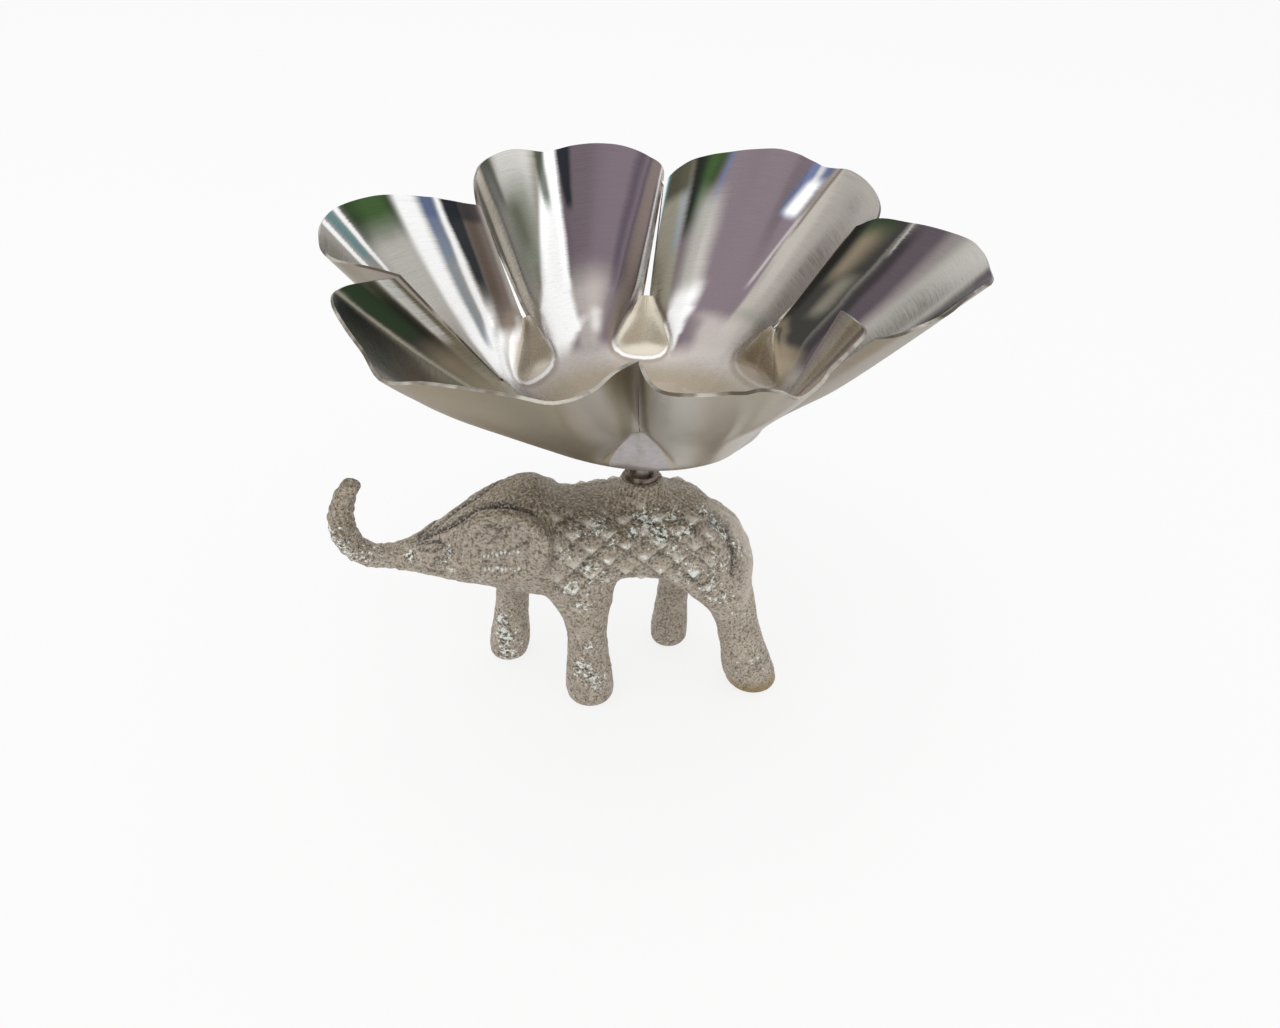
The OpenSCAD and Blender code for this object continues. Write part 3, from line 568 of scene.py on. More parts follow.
# Creases from bending: petal, place at the rim and at the foot, height of the ridge, half width, start
# and end
CREASES = [
    (0, 0.32, 0.43, 0.35, 1.1, 0.0, 0.95), (0, 0.46, 0.49, -0.30, 1.4, 0.0, 0.5),
    (0, 0.74, 0.76, 0.35, 1.2, 0.0, 0.8), (0, 0.84, 0.84, -0.35, 1.3, 0.0, 1.2),
    (1, 0.155, 0.21, 0.35, 1.0, 0.0, 1.1), (1, 0.475, 0.46, -0.35, 1.2, 0.0, 1.0),
    (1, 0.60, 0.66, 0.35, 1.3, 0.0, 1.1), (1, 0.85, 0.78, 0.35, 1.2, 0.0, 1.0),
    (2, 0.16, 0.15, 0.40, 1.0, 0.0, 1.2), (2, 0.27, 0.27, -0.35, 1.4, 0.0, 1.1),
    (2, 0.455, 0.44, 0.40, 1.1, 0.0, 0.9), (3, 0.185, 0.20, 0.40, 1.0, 0.0, 1.2),
    (3, 0.45, 0.46, -0.30, 1.4, 0.1, 1.0), (4, 0.36, 0.42, 0.30, 1.3, 0.0, 0.9),
    (5, 0.50, 0.48, 0.40, 1.2, 0.0, 1.1), (5, 0.83, 0.80, 0.22, 1.1, 0.0, 1.1),
]


def walk(stops, share):
    """A smooth curve through a list of points, walked from 0 to 1."""
    last = len(stops) - 1
    place = min(max(share, 0), 1) * last
    i = min(int(place), last - 1)
    s = place - i
    before, here, ahead, beyond = stops[max(i - 1, 0)], stops[i], stops[i + 1], stops[min(i + 2, last)]
    return [q + (r - o) * s / 2 + (2 * o - 5 * q + 4 * r - e) * s * s / 2
            + (3 * q - o - 3 * r + e) * s ** 3 / 2 for o, q, r, e in zip(before, here, ahead, beyond)]


def on_circle(azimuth, radius, height):
    angle = math.radians(azimuth)
    return Vector((radius * math.cos(angle), radius * math.sin(angle), height))


def turned(u, turns, k):
    """Place u across petal k, from -1 to 1, shifted with the slits or nose feet on both sides of it."""
    return u + (turns[(k + 5) % 6] * (1 - u) + turns[k] * (1 + u)) / 2


def at_rim(k, t):
    q = walk(RIMS[k], t)
    return on_circle(PETAL_TURN + k * PITCH + q[0] * HALF_PITCH, q[1] * BOWL_R, q[2] * BOWL_H)


def at_slit_end(k, t):
    u = (2 * t - 1 + min(max(walk(RIMS[k], t)[0], -1), 1)) / 2
    line, depth, power, _ = TROUGHS[k]
    side = (line - u) / (line + 1) if u < line else (u - line) / (1 - line)
    radius = SLIT_END_R + (TROUGH_R - SLIT_END_R) * depth * (1 - side ** power)
    gap = SLIT_W * SLITS[(k + 5) % 6 if u < 0 else k]
    turn = turned(u, SLIT_TURNS, k) * HALF_PITCH - u * math.degrees(math.asin(gap / 2 / SLIT_END_R))
    return on_circle(PETAL_TURN + k * PITCH + turn, radius, SLIT_END_H)


def at_dish(k, t):
    u = 2 * t - 1
    reach = FOOT_REACH[(k + 5) % 6] * (1 - t) + FOOT_REACH[k] * t
    turn = turned(u, FOOT_TURNS, k) * HALF_PITCH - u * math.degrees(math.asin(NOSE_W / 2 / DISH_R))
    return on_circle(PETAL_TURN + k * PITCH + turn, DISH_R * reach, DISH_H * (1 + (reach - 1) * FOOT_RISE))


def down_dish(p, depth):
    """From the dish's edge, at depth 2, over the floor's edge, at 3, to the bore, at 4."""
    flat = math.hypot(p.x, p.y)
    if depth <= 3:
        radius = flat + (FLOOR_R - flat) * (depth - 2)
    else:
        radius = FLOOR_R + (BORE_R - FLOOR_R) * (depth - 3)
    return Vector((p.x / flat * radius, p.y / flat * radius, p.z * max(3 - depth, 0)))


def sharp_petal(k, t, depth):
    """A point of petal k: depth 0 is the rim, 1 the slit ends, 2 the dish's edge and 3 the floor's."""
    if depth <= 1:
        m = at_rim(k, t).lerp(at_slit_end(k, t), depth)
        belly = TROUGHS[k][3] * DISH_R * math.sin(math.pi * depth) * math.sin(math.pi * t)
        return m + Vector((m.x, m.y, 0)).normalized() * belly
    if depth <= 2:
        v = depth - 1
        sink = 1 - abs(2 * t - 1) ** FOOT_FLAT
        s = v ** NOSE_FLARE * (1 - sink) + v * sink
        a, b = at_slit_end(k, t), at_dish(k, t)
        return Vector((a.x + (b.x - a.x) * s, a.y + (b.y - a.y) * s, a.z + (b.z - a.z) * v))
    return down_dish(at_dish(k, t), depth)


def petal_place(k, t, depth):
    """The same with the bends at the slit ends, the dish's edge and the floor's edge rounded."""
    reach = min(0.22, depth) if depth < 3.2 else 0.0
    if depth < 1.0 and (t < 0.02 or t > 0.98):
        reach = min(reach, 1.0 - depth)
    if reach <= 0:
        return sharp_petal(k, t, depth)
    total, weight = Vector((0, 0, 0)), 0.0
    for i in range(-3, 4):
        share = 1 - abs(i) / 4
        total += sharp_petal(k, t, depth + reach * i / 3) * share
        weight += share
    return total / weight


def nose_place(k, s, depth):
    """A point of the nose after petal k, stretched between the edges of the petals on both sides."""
    a, b = petal_place(k, 1.0, depth), petal_place((k + 1) % 6, 0.0, depth)
    m = a.lerp(b, s)
    v = min(max(depth - 1, 0), 1)
    c = 2 * s - 1
    crease = NOSE_CREASE * math.sin(math.pi * v) * (0.5 - abs(c)) * (1 - abs(c) ** 8)
    bow = (1 - math.cos(math.asin(NOSE_W / 2 / DISH_R))) * DISH_R * (1 - c * c)
    bow *= v if depth <= 2 else max(1 - (depth - 2) * 0.6, 0.4) * max(4 - depth, 0) / 2
    return m + Vector((m.x, m.y, 0)).normalized() * (crease + bow)


# The pressed nose seen from inside is a pad with a round foot: how far down its outline lies, from the
# slit's end, and how wide it is there on each side of its middle line, in millimetres
NOSE_OUTLINE = np.array([(0.0, 0.6), (1.5, 2.2), (3.4, 3.8), (5.6, 5.0), (7.6, 5.8), (9.2, 6.0), (10.6, 5.5),
                         (11.7, 4.2), (12.4, 2.2), (12.6, 0.0)])
PAD_RISE, PAD_NARROWING = 0.25, [1.35, 1, 1, 1, 1, 1]
# Length of a nose from the slit's end to the dish's edge, and from there to the floor's
NOSE_LENGTH, DISH_LENGTH = 11.0, 15.6
# Width of a petal at depths 1, 2, 3 and 4
PETAL_SPANS = [33.0, 12.1, 4.9, 1.0]


def inside_pad(aside, depth):
    """How far inside the nose's outline a place lies, in millimetres, and negative outside it."""
    aside = np.abs(aside)
    down = np.where(depth < 2, (depth - 1) * NOSE_LENGTH, NOSE_LENGTH + (depth - 2) * DISH_LENGTH)
    away, _ = off_path(np.column_stack([down, aside]), NOSE_OUTLINE)
    within = (aside < np.interp(down, *NOSE_OUTLINE.T)) & (down > 0) & (down < NOSE_OUTLINE[-1, 0])
    return np.clip(np.where(within, away, -away), -4, 4)


def half_nose(depth):
    """Half the width of a nose at each depth, in millimetres."""
    upper = NOSE_W / 2 * np.clip(depth - 1, 0, 1) ** NOSE_FLARE
    return upper * (1 - 0.6 * np.clip(depth - 2, 0, 1))


def petal_pads(k, across, depth):
    """Places on petal k by how far they lie inside the pads on both sides of it."""
    span = np.interp(depth, [1, 2, 3, 4], PETAL_SPANS)
    on_left = inside_pad(half_nose(depth) + across * span, depth)
    on_right = inside_pad((half_nose(depth) + (1 - across) * span) * PAD_NARROWING[k], depth)
    return np.maximum(on_left, on_right)


def nose_pads(k, across, depth):
    aside = (2 * across - 1) * np.maximum(half_nose(depth), 0.05)
    return inside_pad(np.where(aside < 0, aside * PAD_NARROWING[k], aside), depth)


# Rows of the mesh in each stretch: rim to slit ends, on to the dish's edge, the floor's and the bore
STRETCH_ROWS = [40, 24, 22, 6]
ROWS = [start + i / count for start, count in enumerate(STRETCH_ROWS) for i in range(count)] + [4]
NOSE_ROWS = ROWS[STRETCH_ROWS[0]:]
# Places of the finishes in the bowl's list of materials; 1 to 6 are the insides of the petals
NOSE_FINISH, DISH_FINISH, EDGE_FINISH = 7, 8, 9
OUTSIDE_FINISH, LEFT_OUTSIDE_FINISH, RIGHT_OUTSIDE_FINISH, NOSE_OUTSIDE_FINISH = 0, 10, 11, 12


def sheet_grid(name, k, columns, rows, place, pads, ridges, finish):
    """A grid laid out by place(k, across, depth), with ridges on it, whose UV is (across, depth / 4)."""
    bpy.ops.object.select_all(action="DESELECT")
    bpy.ops.mesh.primitive_grid_add(x_subdivisions=columns, y_subdivisions=len(rows) - 1, size=2 * MM)
    piece = bpy.context.object
    piece.name = name
    mesh = piece.data
    shares = places(piece)
    across = (shares[:, 0] + 1) / 2
    row = np.rint((1 - shares[:, 1]) / 2 * (len(rows) - 1)).astype(int)
    depth = np.array(rows)[row]
    points = np.array([place(k, t, d) for t, d in zip(across, depth)])
    set_places(piece, points)
    normal = normals_of(piece)
    lift = np.zeros(len(points))
    for rim_t, foot_t, high, wide, start, end in ridges:
        line = rim_t + (foot_t - rim_t) * np.clip(depth, 0, 1)
        span = RIM_SPAN - SPAN_LOST * np.clip(depth, 0, 1.5)
        taper = 1 - step_up(depth, end - 0.25, end + 0.15)
        if start > 0:
            taper *= step_up(depth, start - 0.1, start + 0.2)
        lift += high * taper * hill((across - line) * span, wide)
    lift *= np.clip(np.minimum(across, 1 - across) / 0.03, 0, 1)
    points += normal * lift[:, None]
    points[:, 2] += FLOOR_Z
    set_places(piece, points)
    paint_mask(piece, "pad_inside", pads(k, across, depth))
    # The last nose, between petals 5 and 0, lies in shade: pad_shine is 0 there, so its pad is painted in
    # shade and gets no painted highlight
    by_last_nose = (k == 5) & ((across > 0.5) | (finish == NOSE_FINISH)) | (finish == 1) & (across < 0.5)
    paint_mask(piece, "pad_shine", np.where(by_last_nose, 0.0, 1.0))
    corner = values_of(mesh.loops, "vertex_index", kind=np.int32)
    uv = np.column_stack([across[corner], depth[corner] / 4])
    mesh.uv_layers.active.data.foreach_set("uv", uv.astype(np.float32).ravel())
    layer = mesh.attributes.new("finish", "INT", "FACE")
    layer.data.foreach_set("value", np.full(len(mesh.polygons), finish, np.int32))
    return piece


petal_pieces = []
for k in range(6):
    ridges = [crease[1:] for crease in CREASES if crease[0] == k]
    petal_pieces.append(sheet_grid(f"petal_{k}", k, 64, ROWS, petal_place, petal_pads, ridges, k + 1))
    petal_pieces.append(sheet_grid(f"nose_{k}", k, 16, NOSE_ROWS, nose_place, nose_pads, [], NOSE_FINISH))
bpy.ops.object.select_all(action="DESELECT")
for piece in petal_pieces:
    piece.select_set(True)
bpy.context.view_layer.objects.active = petal_pieces[0]
bpy.ops.object.join()
bowl = bpy.context.object
bowl.name = "bowl"
bowl.data.name = "bowl"
edit_all(bowl, bpy.ops.mesh.remove_doubles, threshold=MERGE_WITHIN)

# The dish and the floor take their own finish
mesh = bowl.data
middle = values_of(mesh.polygons, "center", 3) / MM
finish = values_of(mesh.attributes["finish"].data, "value", kind=np.int32)
in_dish = (np.hypot(middle[:, 0], middle[:, 1]) < DISH_R - 5.5) & (middle[:, 2] < FLOOR_Z + DISH_H)
finish = np.where(in_dish, DISH_FINISH, finish)
mesh.attributes.remove(mesh.attributes["finish"])

# Normals point out and down, so the thickness grows inwards
facing = np.array([face.normal.z for face in mesh.polygons if face.center.z < (FLOOR_Z + 0.2) * MM])
if facing.size and facing.mean() > 0:
    edit_all(bowl, bpy.ops.mesh.flip_normals)
inside = values_of(mesh.attributes["pad_inside"].data, "value")
set_places(bowl, places(bowl) - normals_of(bowl) * (PAD_RISE * step_up(inside, -1.4, 1.0))[:, None])
x, y, z = places(bowl).T
round_nose = (inside > -3) & (inside < 2.4) & (z < FLOOR_Z + SLIT_END_H - 1.5) & (np.hypot(x, y) > 13)
soften(bowl, round_nose, 0.5, 8)
apply_modifier(bowl, "SOLIDIFY", thickness=SHEET * MM, offset=-1.0, use_even_offset=True, thickness_clamp=0.0)
mesh = bowl.data

# The solid's faces come in this order: the outer skin, the inner skin, and the cut edge. The outside is
# plain but for the two front petals and the noses.
skin = len(finish)
all_finishes = np.full(len(mesh.polygons), EDGE_FINISH, np.int32)
all_finishes[:skin] = OUTSIDE_FINISH
for inner, outer in [(4, LEFT_OUTSIDE_FINISH), (5, RIGHT_OUTSIDE_FINISH), (NOSE_FINISH, NOSE_OUTSIDE_FINISH)]:
    all_finishes[:skin][finish == inner] = outer
all_finishes[skin:2 * skin] = finish
select_only(bowl)
bpy.ops.object.shade_smooth_by_angle(angle=math.radians(40))

# A row of the streak lists names a painted sheen, the tone of a painted reflection, and then gives how far
# down the petal the streak's top and foot lie, from where to where round it the streak goes at both, how soft
# its sides and ends are, and how strong it is. The blurs widen the soft sides and ends of all streaks alike.
EDGE_BLUR, FADE_BLUR = 1.7, 1.8
STREAK_SOCKETS = ("Top", "Foot", "Top start", "Top end", "Foot start", "Foot end", "Edge", "Fade", "Strength")


def streak_group():
    """One streak of painted reflection down a petal, between two places round it at its top and two at its
    foot.
    """
    numbers = dict.fromkeys(("Round", "Down", *STREAK_SOCKETS), "Float")
    tree, got, leave = new_group("painted_sheen_streak", {"Colour": "Color", "Sheen": "Color", **numbers},
                                 {"Colour": "Color"})

    def between(first, last):
        span = {0: got["Down"], 1: got["Top"], 2: got["Foot"], 3: got[first], 4: got[last]}
        return add_node(tree, "ShaderNodeMapRange", span, interpolation_type="LINEAR", clamp=False).outputs[0]

    start, end = between("Top start", "Foot start"), between("Top end", "Foot end")
    edge, fade = times(tree, got["Edge"], EDGE_BLUR), times(tree, got["Fade"], FADE_BLUR)
    left = ramp(tree, got["Round"], maths(tree, "SUBTRACT", start, edge), maths(tree, "ADD", start, edge))
    right = ramp(tree, got["Round"], maths(tree, "ADD", end, edge), maths(tree, "SUBTRACT", end, edge))
    top = ramp(tree, got["Down"], maths(tree, "SUBTRACT", got["Top"], fade), got["Top"])
    foot = ramp(tree, got["Down"], maths(tree, "ADD", got["Foot"], fade), got["Foot"])
    mask = times(tree, times(tree, left, right), times(tree, top, foot))
    mask = times(tree, mask, got["Strength"])
    fill(tree, leave, {0: blend(tree, mask, got["Colour"], got["Sheen"])})
    return tree


def hatch_group():
    """The crosswise brushing of the sheet: noise drawn out in fine lines round the petal and aslant."""
    tree, entry, leave = new_group("crosswise_brushing", {"Place": "Vector"},
                                   {"Round lines": "Float", "Slant lines": "Float"})
    aslant = add_node(tree, "ShaderNodeMapping", {0: entry[0], "Rotation": (0, 0, math.radians(58))})
    fill(tree, leave, {0: cloud(tree, entry[0], 1.0, 2.0, 0.6, (9.0, 330.0, 1.0)),
                       1: cloud(tree, aslant.outputs[0], 1.0, 2.0, 0.6, (14.0, 300.0, 1.0))})
    return tree


PAINTED_SHEEN_STREAK = streak_group()
BRUSHING = hatch_group()
# Tones of the sheet's painted reflections, painted shade and painted highlights, and of its pads and dish, as
# they look on a screen
PAINTED_SHEENS = {
    "white_glare": (1.0, 1.0, 1.0), "pale_silver": (0.86, 0.85, 0.83), "silver": (0.74, 0.73, 0.70),
    "light_grey": (0.67, 0.645, 0.62), "warm_grey": (0.62, 0.60, 0.57), "mauve_grey": (0.465, 0.415, 0.44),
    "deep_mauve": (0.43, 0.38, 0.41), "mauve_dark": (0.30, 0.255, 0.30), "pale_mauve": (0.72, 0.69, 0.67),
    "slate_blue": (0.36, 0.43, 0.58), "blue_grey": (0.52, 0.56, 0.60), "leaf_green": (0.27, 0.38, 0.20),
    "deep_green": (0.15, 0.21, 0.13), "green_grey": (0.52, 0.54, 0.48), "black_reflection": (0.12, 0.12, 0.11),
    "blue_black": (0.10, 0.12, 0.15), "teal": (0.30, 0.50, 0.52), "brown": (0.33, 0.28, 0.22),
    "mauve_brown": (0.45, 0.40, 0.38), "beige_brown": (0.52, 0.47, 0.39), "dark_olive": (0.24, 0.235, 0.17),
    "olive": (0.47, 0.44, 0.35), "olive_beige": (0.57, 0.55, 0.49), "cream": (0.82, 0.79, 0.73),
    "sand": (0.72, 0.67, 0.60), "dish_beige": (0.645, 0.60, 0.53), "pale_champagne": (0.70, 0.66, 0.60),
    "grey": (0.50, 0.49, 0.47), "dark_grey": (0.33, 0.32, 0.32), "champagne": (0.59, 0.535, 0.445),
    "umber": (0.44, 0.40, 0.36), "shaded_gold": (0.56, 0.505, 0.42),
}


def sheen(name):
    return as_seen(*PAINTED_SHEENS[name])


def sheen_painted_sheet(name, base, foot_sheen, streaks, roughness=0.26, with_pads=True):
    """Bright brushed sheet with streaks of painted reflection, each a painted sheen and the values of
    STREAK_SOCKETS; with pads, the noses' pads get painted shade and a painted highlight.
    """
    material, tree, shader = new_material(name)
    uv = add_node(tree, "ShaderNodeUVMap", uv_map="UVMap").outputs[0]
    wander = maths(tree, "SUBTRACT", cloud(tree, uv, 1.0, 3.0, 0.5, (5.0, 9.0, 1)), 0.5)
    round_lines, slant_lines = add_node(tree, "ShaderNodeGroup", {0: uv}, node_tree=BRUSHING).outputs
    lines = maths(tree, "ADD", times(tree, round_lines, 0.88), times(tree, slant_lines, 0.12))
    parts = add_node(tree, "ShaderNodeSeparateXYZ", {0: uv}).outputs
    shift = maths(tree, "ADD", times(tree, wander, 0.018),
                  times(tree, maths(tree, "SUBTRACT", round_lines, 0.5), 0.008))
    across = maths(tree, "ADD", parts[0], shift)
    down = maths(tree, "ADD", times(tree, parts[1], 4.0), times(tree, wander, 0.16))
    down = maths(tree, "MAXIMUM", down, 0.0)
    colour = sheen(base)
    for streak_sheen, *values in streaks:
        sockets = {"Colour": colour, "Sheen": sheen(streak_sheen), "Round": across, "Down": down}
        sockets.update(zip(STREAK_SOCKETS, values))
        colour = add_node(tree, "ShaderNodeGroup", sockets, node_tree=PAINTED_SHEEN_STREAK).outputs[0]
    colour = blend(tree, ramp(tree, down, 1.75, 2.10), colour, sheen(foot_sheen))
    colour = blend(tree, ramp(tree, down, 2.05, 2.40), colour, sheen("dish_beige"))
    if with_pads:
        # Pads of the noses: painted shade along their sides and over the pad where pad_shine is 0, a pad tone
        # from sand to cream, and a painted highlight along the outline near the pad's foot
        inside, shine = mask_of(tree, "pad_inside"), mask_of(tree, "pad_shine")
        shade = times(tree, ramp(tree, inside, -2.0, -0.9), ramp(tree, inside, -0.2, -0.7))
        in_shade = times(tree, ramp(tree, inside, -0.5, 0.5), maths(tree, "SUBTRACT", 1.0, shine))
        colour = tint(tree, in_shade, 0.65, colour, PAINTED_SHEENS["shaded_gold"])
        colour = tint(tree, shade, 0.5, colour, PAINTED_SHEENS["beige_brown"])
        pad_tone = blend(tree, ramp(tree, down, 0.95, 1.5), sheen("sand"), sheen("cream"))
        on_pad = times(tree, ramp(tree, inside, -0.5, 1.2), ramp(tree, down, 1.0, 1.35))
        colour = blend(tree, times(tree, on_pad, shine), colour, pad_tone)
        rim = times(tree, ramp(tree, inside, -0.75, -0.35), ramp(tree, inside, 0.45, 0.0))
        low_rim = times(tree, ramp(tree, down, 1.70, 1.98, 0.0, 0.65), shine)
        colour = tint(tree, rim, low_rim, colour, PAINTED_SHEENS["white_glare"])
    tone = ramp(tree, lines, 0.36, 0.64, 0.94, 1.08, "LINEAR")
    grey = add_node(tree, "ShaderNodeCombineColor", {0: tone, 1: tone, 2: tone}).outputs[0]
    fill(tree, shader, {"Base Color": blend(tree, 1.0, colour, grey, "MULTIPLY"), "Metallic": 0.75,
                        "Roughness": ramp(tree, lines, 0.35, 0.65, roughness, roughness + 0.10),
                        "Normal": bumps(tree, lines, 0.10)})
    return material


# Streaks of painted reflection run from the first slit round to the next
RIGHT_BACK = [
    ("light_grey", 0, 1.4, -0.1, 0.345, -0.1, 0.455, 0.012, 0.2, 1),
    ("green_grey", 1.25, 1.5, 0.05, 0.44, 0.1, 0.45, 0.03, 0.1, 0.4),
    ("brown", 0, 0.4, 0.312, 0.33, 0.35, 0.366, 0.006, 0.1, 0.8),
    ("pale_silver", 0.4, 0.85, 0.375, 0.39, 0.445, 0.46, 0.006, 0.08, 0.5),
    ("slate_blue", 0, 0.34, 0.35, 0.462, 0.41, 0.5, 0.01, 0.06, 0.75),
    ("white_glare", 0.15, 0.34, 0.372, 0.44, 0.4, 0.475, 0.014, 0.05, 0.9),
    ("pale_silver", 0, 0.12, 0.385, 0.42, 0.39, 0.425, 0.008, 0.05, 0.6),
    ("slate_blue", 0, 0.5, 0.732, 0.745, 0.752, 0.762, 0.004, 0.1, 0.7),
    ("deep_green", 0, 0.45, 0.745, 0.855, 0.785, 0.85, 0.01, 0.12, 1),
    ("leaf_green", 0, 0.3, 0.752, 0.795, 0.78, 0.815, 0.012, 0.1, 0.7),
    ("black_reflection", 0, 0.35, 0.808, 0.85, 0.815, 0.85, 0.01, 0.1, 0.8),
    ("olive_beige", 0.1, 1.3, 0.845, 0.97, 0.86, 1.05, 0.01, 0.15, 1),
    ("blue_grey", 0.25, 0.6, 0.845, 0.88, 0.85, 0.89, 0.01, 0.1, 0.6),
    ("dark_olive", 0, 0.16, 0.845, 0.97, 0.845, 0.97, 0.01, 0.08, 0.9),
    ("teal", 0, 0.45, 0.945, 0.962, 0.99, 1, 0.006, 0.05, 0.8),
    ("white_glare", 0, 0.45, 0.962, 1.1, 1, 1.1, 0.006, 0.05, 0.9),
    ("silver", 0.42, 1, 0.735, 0.8, 0.715, 0.83, 0.02, 0.15, 0.9),
    ("white_glare", 1.1, 1.3, 0.72, 0.85, 0.745, 0.9, 0.025, 0.12, 0.95),
    ("white_glare", 1.3, 1.6, 0.745, 0.9, 0.82, 1.1, 0.025, 0.05, 1),
    ("white_glare", 1.6, 1.85, 0.82, 1.1, 0.93, 1.15, 0.02, 0.08, 1),
    ("pale_mauve", 1.5, 2, -0.1, 0.7, -0.1, 0.7, 0.05, 0.15, 0.8),
    ("mauve_grey", 1.55, 1.85, 0.66, 0.79, 0.76, 0.92, 0.03, 0.1, 0.6),
]
MIDDLE_BACK = [
    ("warm_grey", 0, 1.7, 0.575, 1.2, 0.64, 1.2, 0.01, 0.2, 1),
    ("pale_silver", 0, 1, -0.1, 0.08, -0.1, 0.085, 0.006, 0.1, 0.9),
    ("black_reflection", 0.25, 1, 0.085, 0.1, 0.088, 0.102, 0.004, 0.08, 0.7),
    ("mauve_brown", 0, 1.5, 0.095, 0.14, 0.1, 0.2, 0.01, 0.2, 1),
    ("mauve_dark", 0, 1, 0.135, 0.15, 0.19, 0.2, 0.006, 0.1, 0.8),
    ("mauve_dark", 0, 1, 0.16, 0.187, 0.21, 0.24, 0.008, 0.05, 0.85),
    ("mauve_dark", 1, 1.6, 0.21, 0.24, 0.25, 0.27, 0.01, 0.15, 0.5),
    ("pale_mauve", 1.1, 1.8, 0.25, 0.47, 0.27, 0.5, 0.04, 0.2, 0.8),
    ("white_glare", 1.45, 1.6, 0.28, 0.33, 0.27, 0.33, 0.03, 0.1, 0.5),
    ("blue_black", 0, 0.38, 0.4, 0.475, 0.405, 0.445, 0.008, 0.06, 0.95),
    ("white_glare", 0, 1, 0.478, 0.56, 0.46, 0.68, 0.01, 0.05, 1),
    ("white_glare", 1, 1.6, 0.46, 0.68, 0.45, 0.93, 0.02, 0.05, 1),
    ("white_glare", 1.6, 2, 0.45, 0.93, 0.68, 1.2, 0.04, 0.12, 1),
    ("deep_green", 0, 0.3, 0.562, 0.605, 0.55, 0.59, 0.008, 0.1, 0.85),
    ("pale_silver", 0, 0.3, 0.62, 0.78, 0.64, 0.78, 0.015, 0.15, 0.9),
    ("green_grey", 0.4, 0.7, 0.65, 0.79, 0.65, 0.79, 0.02, 0.2, 0.9),
    ("dark_olive", 0.42, 0.6, 0.7, 0.76, 0.69, 0.74, 0.02, 0.1, 0.6),
    ("deep_green", 0, 0.25, 0.8, 0.87, 0.78, 0.85, 0.01, 0.12, 0.95),
    ("grey", 0.25, 0.8, 0.79, 0.85, 0.74, 0.8, 0.012, 0.2, 0.7),
    ("cream", 0, 1.2, 0.87, 0.92, 0.77, 0.92, 0.01, 0.15, 1),
    ("brown", 0.1, 1, 0.92, 0.96, 0.92, 1.05, 0.008, 0.1, 0.8),
    ("olive_beige", 1.1, 1.5, 0.72, 0.8, 0.88, 1.05, 0.02, 0.15, 0.6),
]
LEFT_BACK = [
    ("mauve_brown", 0, 1.2, 0.02, 0.1, 0.03, 0.1, 0.008, 0.1, 1),
    ("brown", 0.1, 0.7, 0.055, 0.1, 0.055, 0.1, 0.01, 0.15, 0.7),
    ("blue_black", 0, 0.6, 0.1, 0.16, 0.1, 0.135, 0.006, 0.2, 0.95),
    ("blue_black", 0, 0.1, 0.03, 0.25, 0.03, 0.25, 0.01, 0.05, 0.7),
    ("white_glare", 0, 1, 0.16, 0.187, 0.135, 0.182, 0.008, 0.05, 1),
    ("white_glare", 1, 1.5, 0.13, 0.18, 0.2, 0.3, 0.015, 0.15, 1),
    ("slate_blue", 0, 0.42, 0.187, 0.245, 0.19, 0.24, 0.008, 0.06, 0.75),
    ("blue_grey", 0.45, 1.2, 0.195, 0.24, 0.2, 0.25, 0.01, 0.15, 0.7),
    ("white_glare", 1.3, 1.95, -0.1, 0.2, -0.1, 0.3, 0.04, 0.15, 0.9),
    ("white_glare", 0, 1.6, 0.245, 0.315, 0.25, 0.345, 0.012, 0.2, 1),
    ("deep_green", 0, 0.2, 0.315, 0.455, 0.32, 0.455, 0.012, 0.09, 1),
    ("leaf_green", 0.03, 0.18, 0.33, 0.43, 0.34, 0.42, 0.02, 0.07, 0.8),
    ("silver", 0.36, 0.9, 0.32, 0.45, 0.33, 0.46, 0.02, 0.15, 0.8),
    ("light_grey", 1, 1.4, 0.33, 0.48, 0.35, 0.5, 0.03, 0.15, 0.8),
    ("white_glare", 0, 0.5, 0.455, 0.474, 0.455, 0.472, 0.004, 0.1, 1),
    ("teal", 0, 0.25, 0.48, 0.512, 0.48, 0.507, 0.006, 0.1, 0.8),
    ("white_glare", 0, 0.35, 0.52, 0.54, 0.52, 0.54, 0.004, 0.08, 1),
]
LEFT_FRONT = [
    ("white_glare", 0, 0.42, 0.02, 0.062, 0.028, 0.07, 0.006, 0.1, 0.95),
    ("dark_olive", 0, 0.5, 0.066, 0.1, 0.07, 0.105, 0.008, 0.15, 0.9),
    ("black_reflection", 0.2, 0.75, 0.08, 0.175, 0.085, 0.18, 0.01, 0.15, 0.95),
    ("deep_green", 0, 0.33, 0.095, 0.173, 0.1, 0.177, 0.01, 0.12, 1),
    ("beige_brown", 0.7, 1.3, 0.075, 0.18, 0.08, 0.195, 0.015, 0.15, 0.8),
    ("olive_beige", 0, 1.3, 0.176, 0.198, 0.19, 0.225, 0.005, 0.15, 0.95),
    ("black_reflection", 0, 0.4, 0.2, 0.42, 0.225, 0.42, 0.01, 0.15, 0.9),
    ("blue_black", 0, 0.35, 0.205, 0.28, 0.23, 0.3, 0.015, 0.15, 0.6),
    ("dark_olive", 0.1, 0.5, 0.3, 0.42, 0.3, 0.42, 0.02, 0.15, 0.5),
    ("brown", 0.45, 0.75, 0.235, 0.45, 0.27, 0.48, 0.02, 0.15, 0.85),
    ("olive", 0.78, 1.4, 0.23, 0.5, 0.25, 0.5, 0.03, 0.12, 0.85),
    ("cream", 0.2, 1.2, 0.44, 0.48, 0.46, 0.52, 0.02, 0.2, 0.6),
]
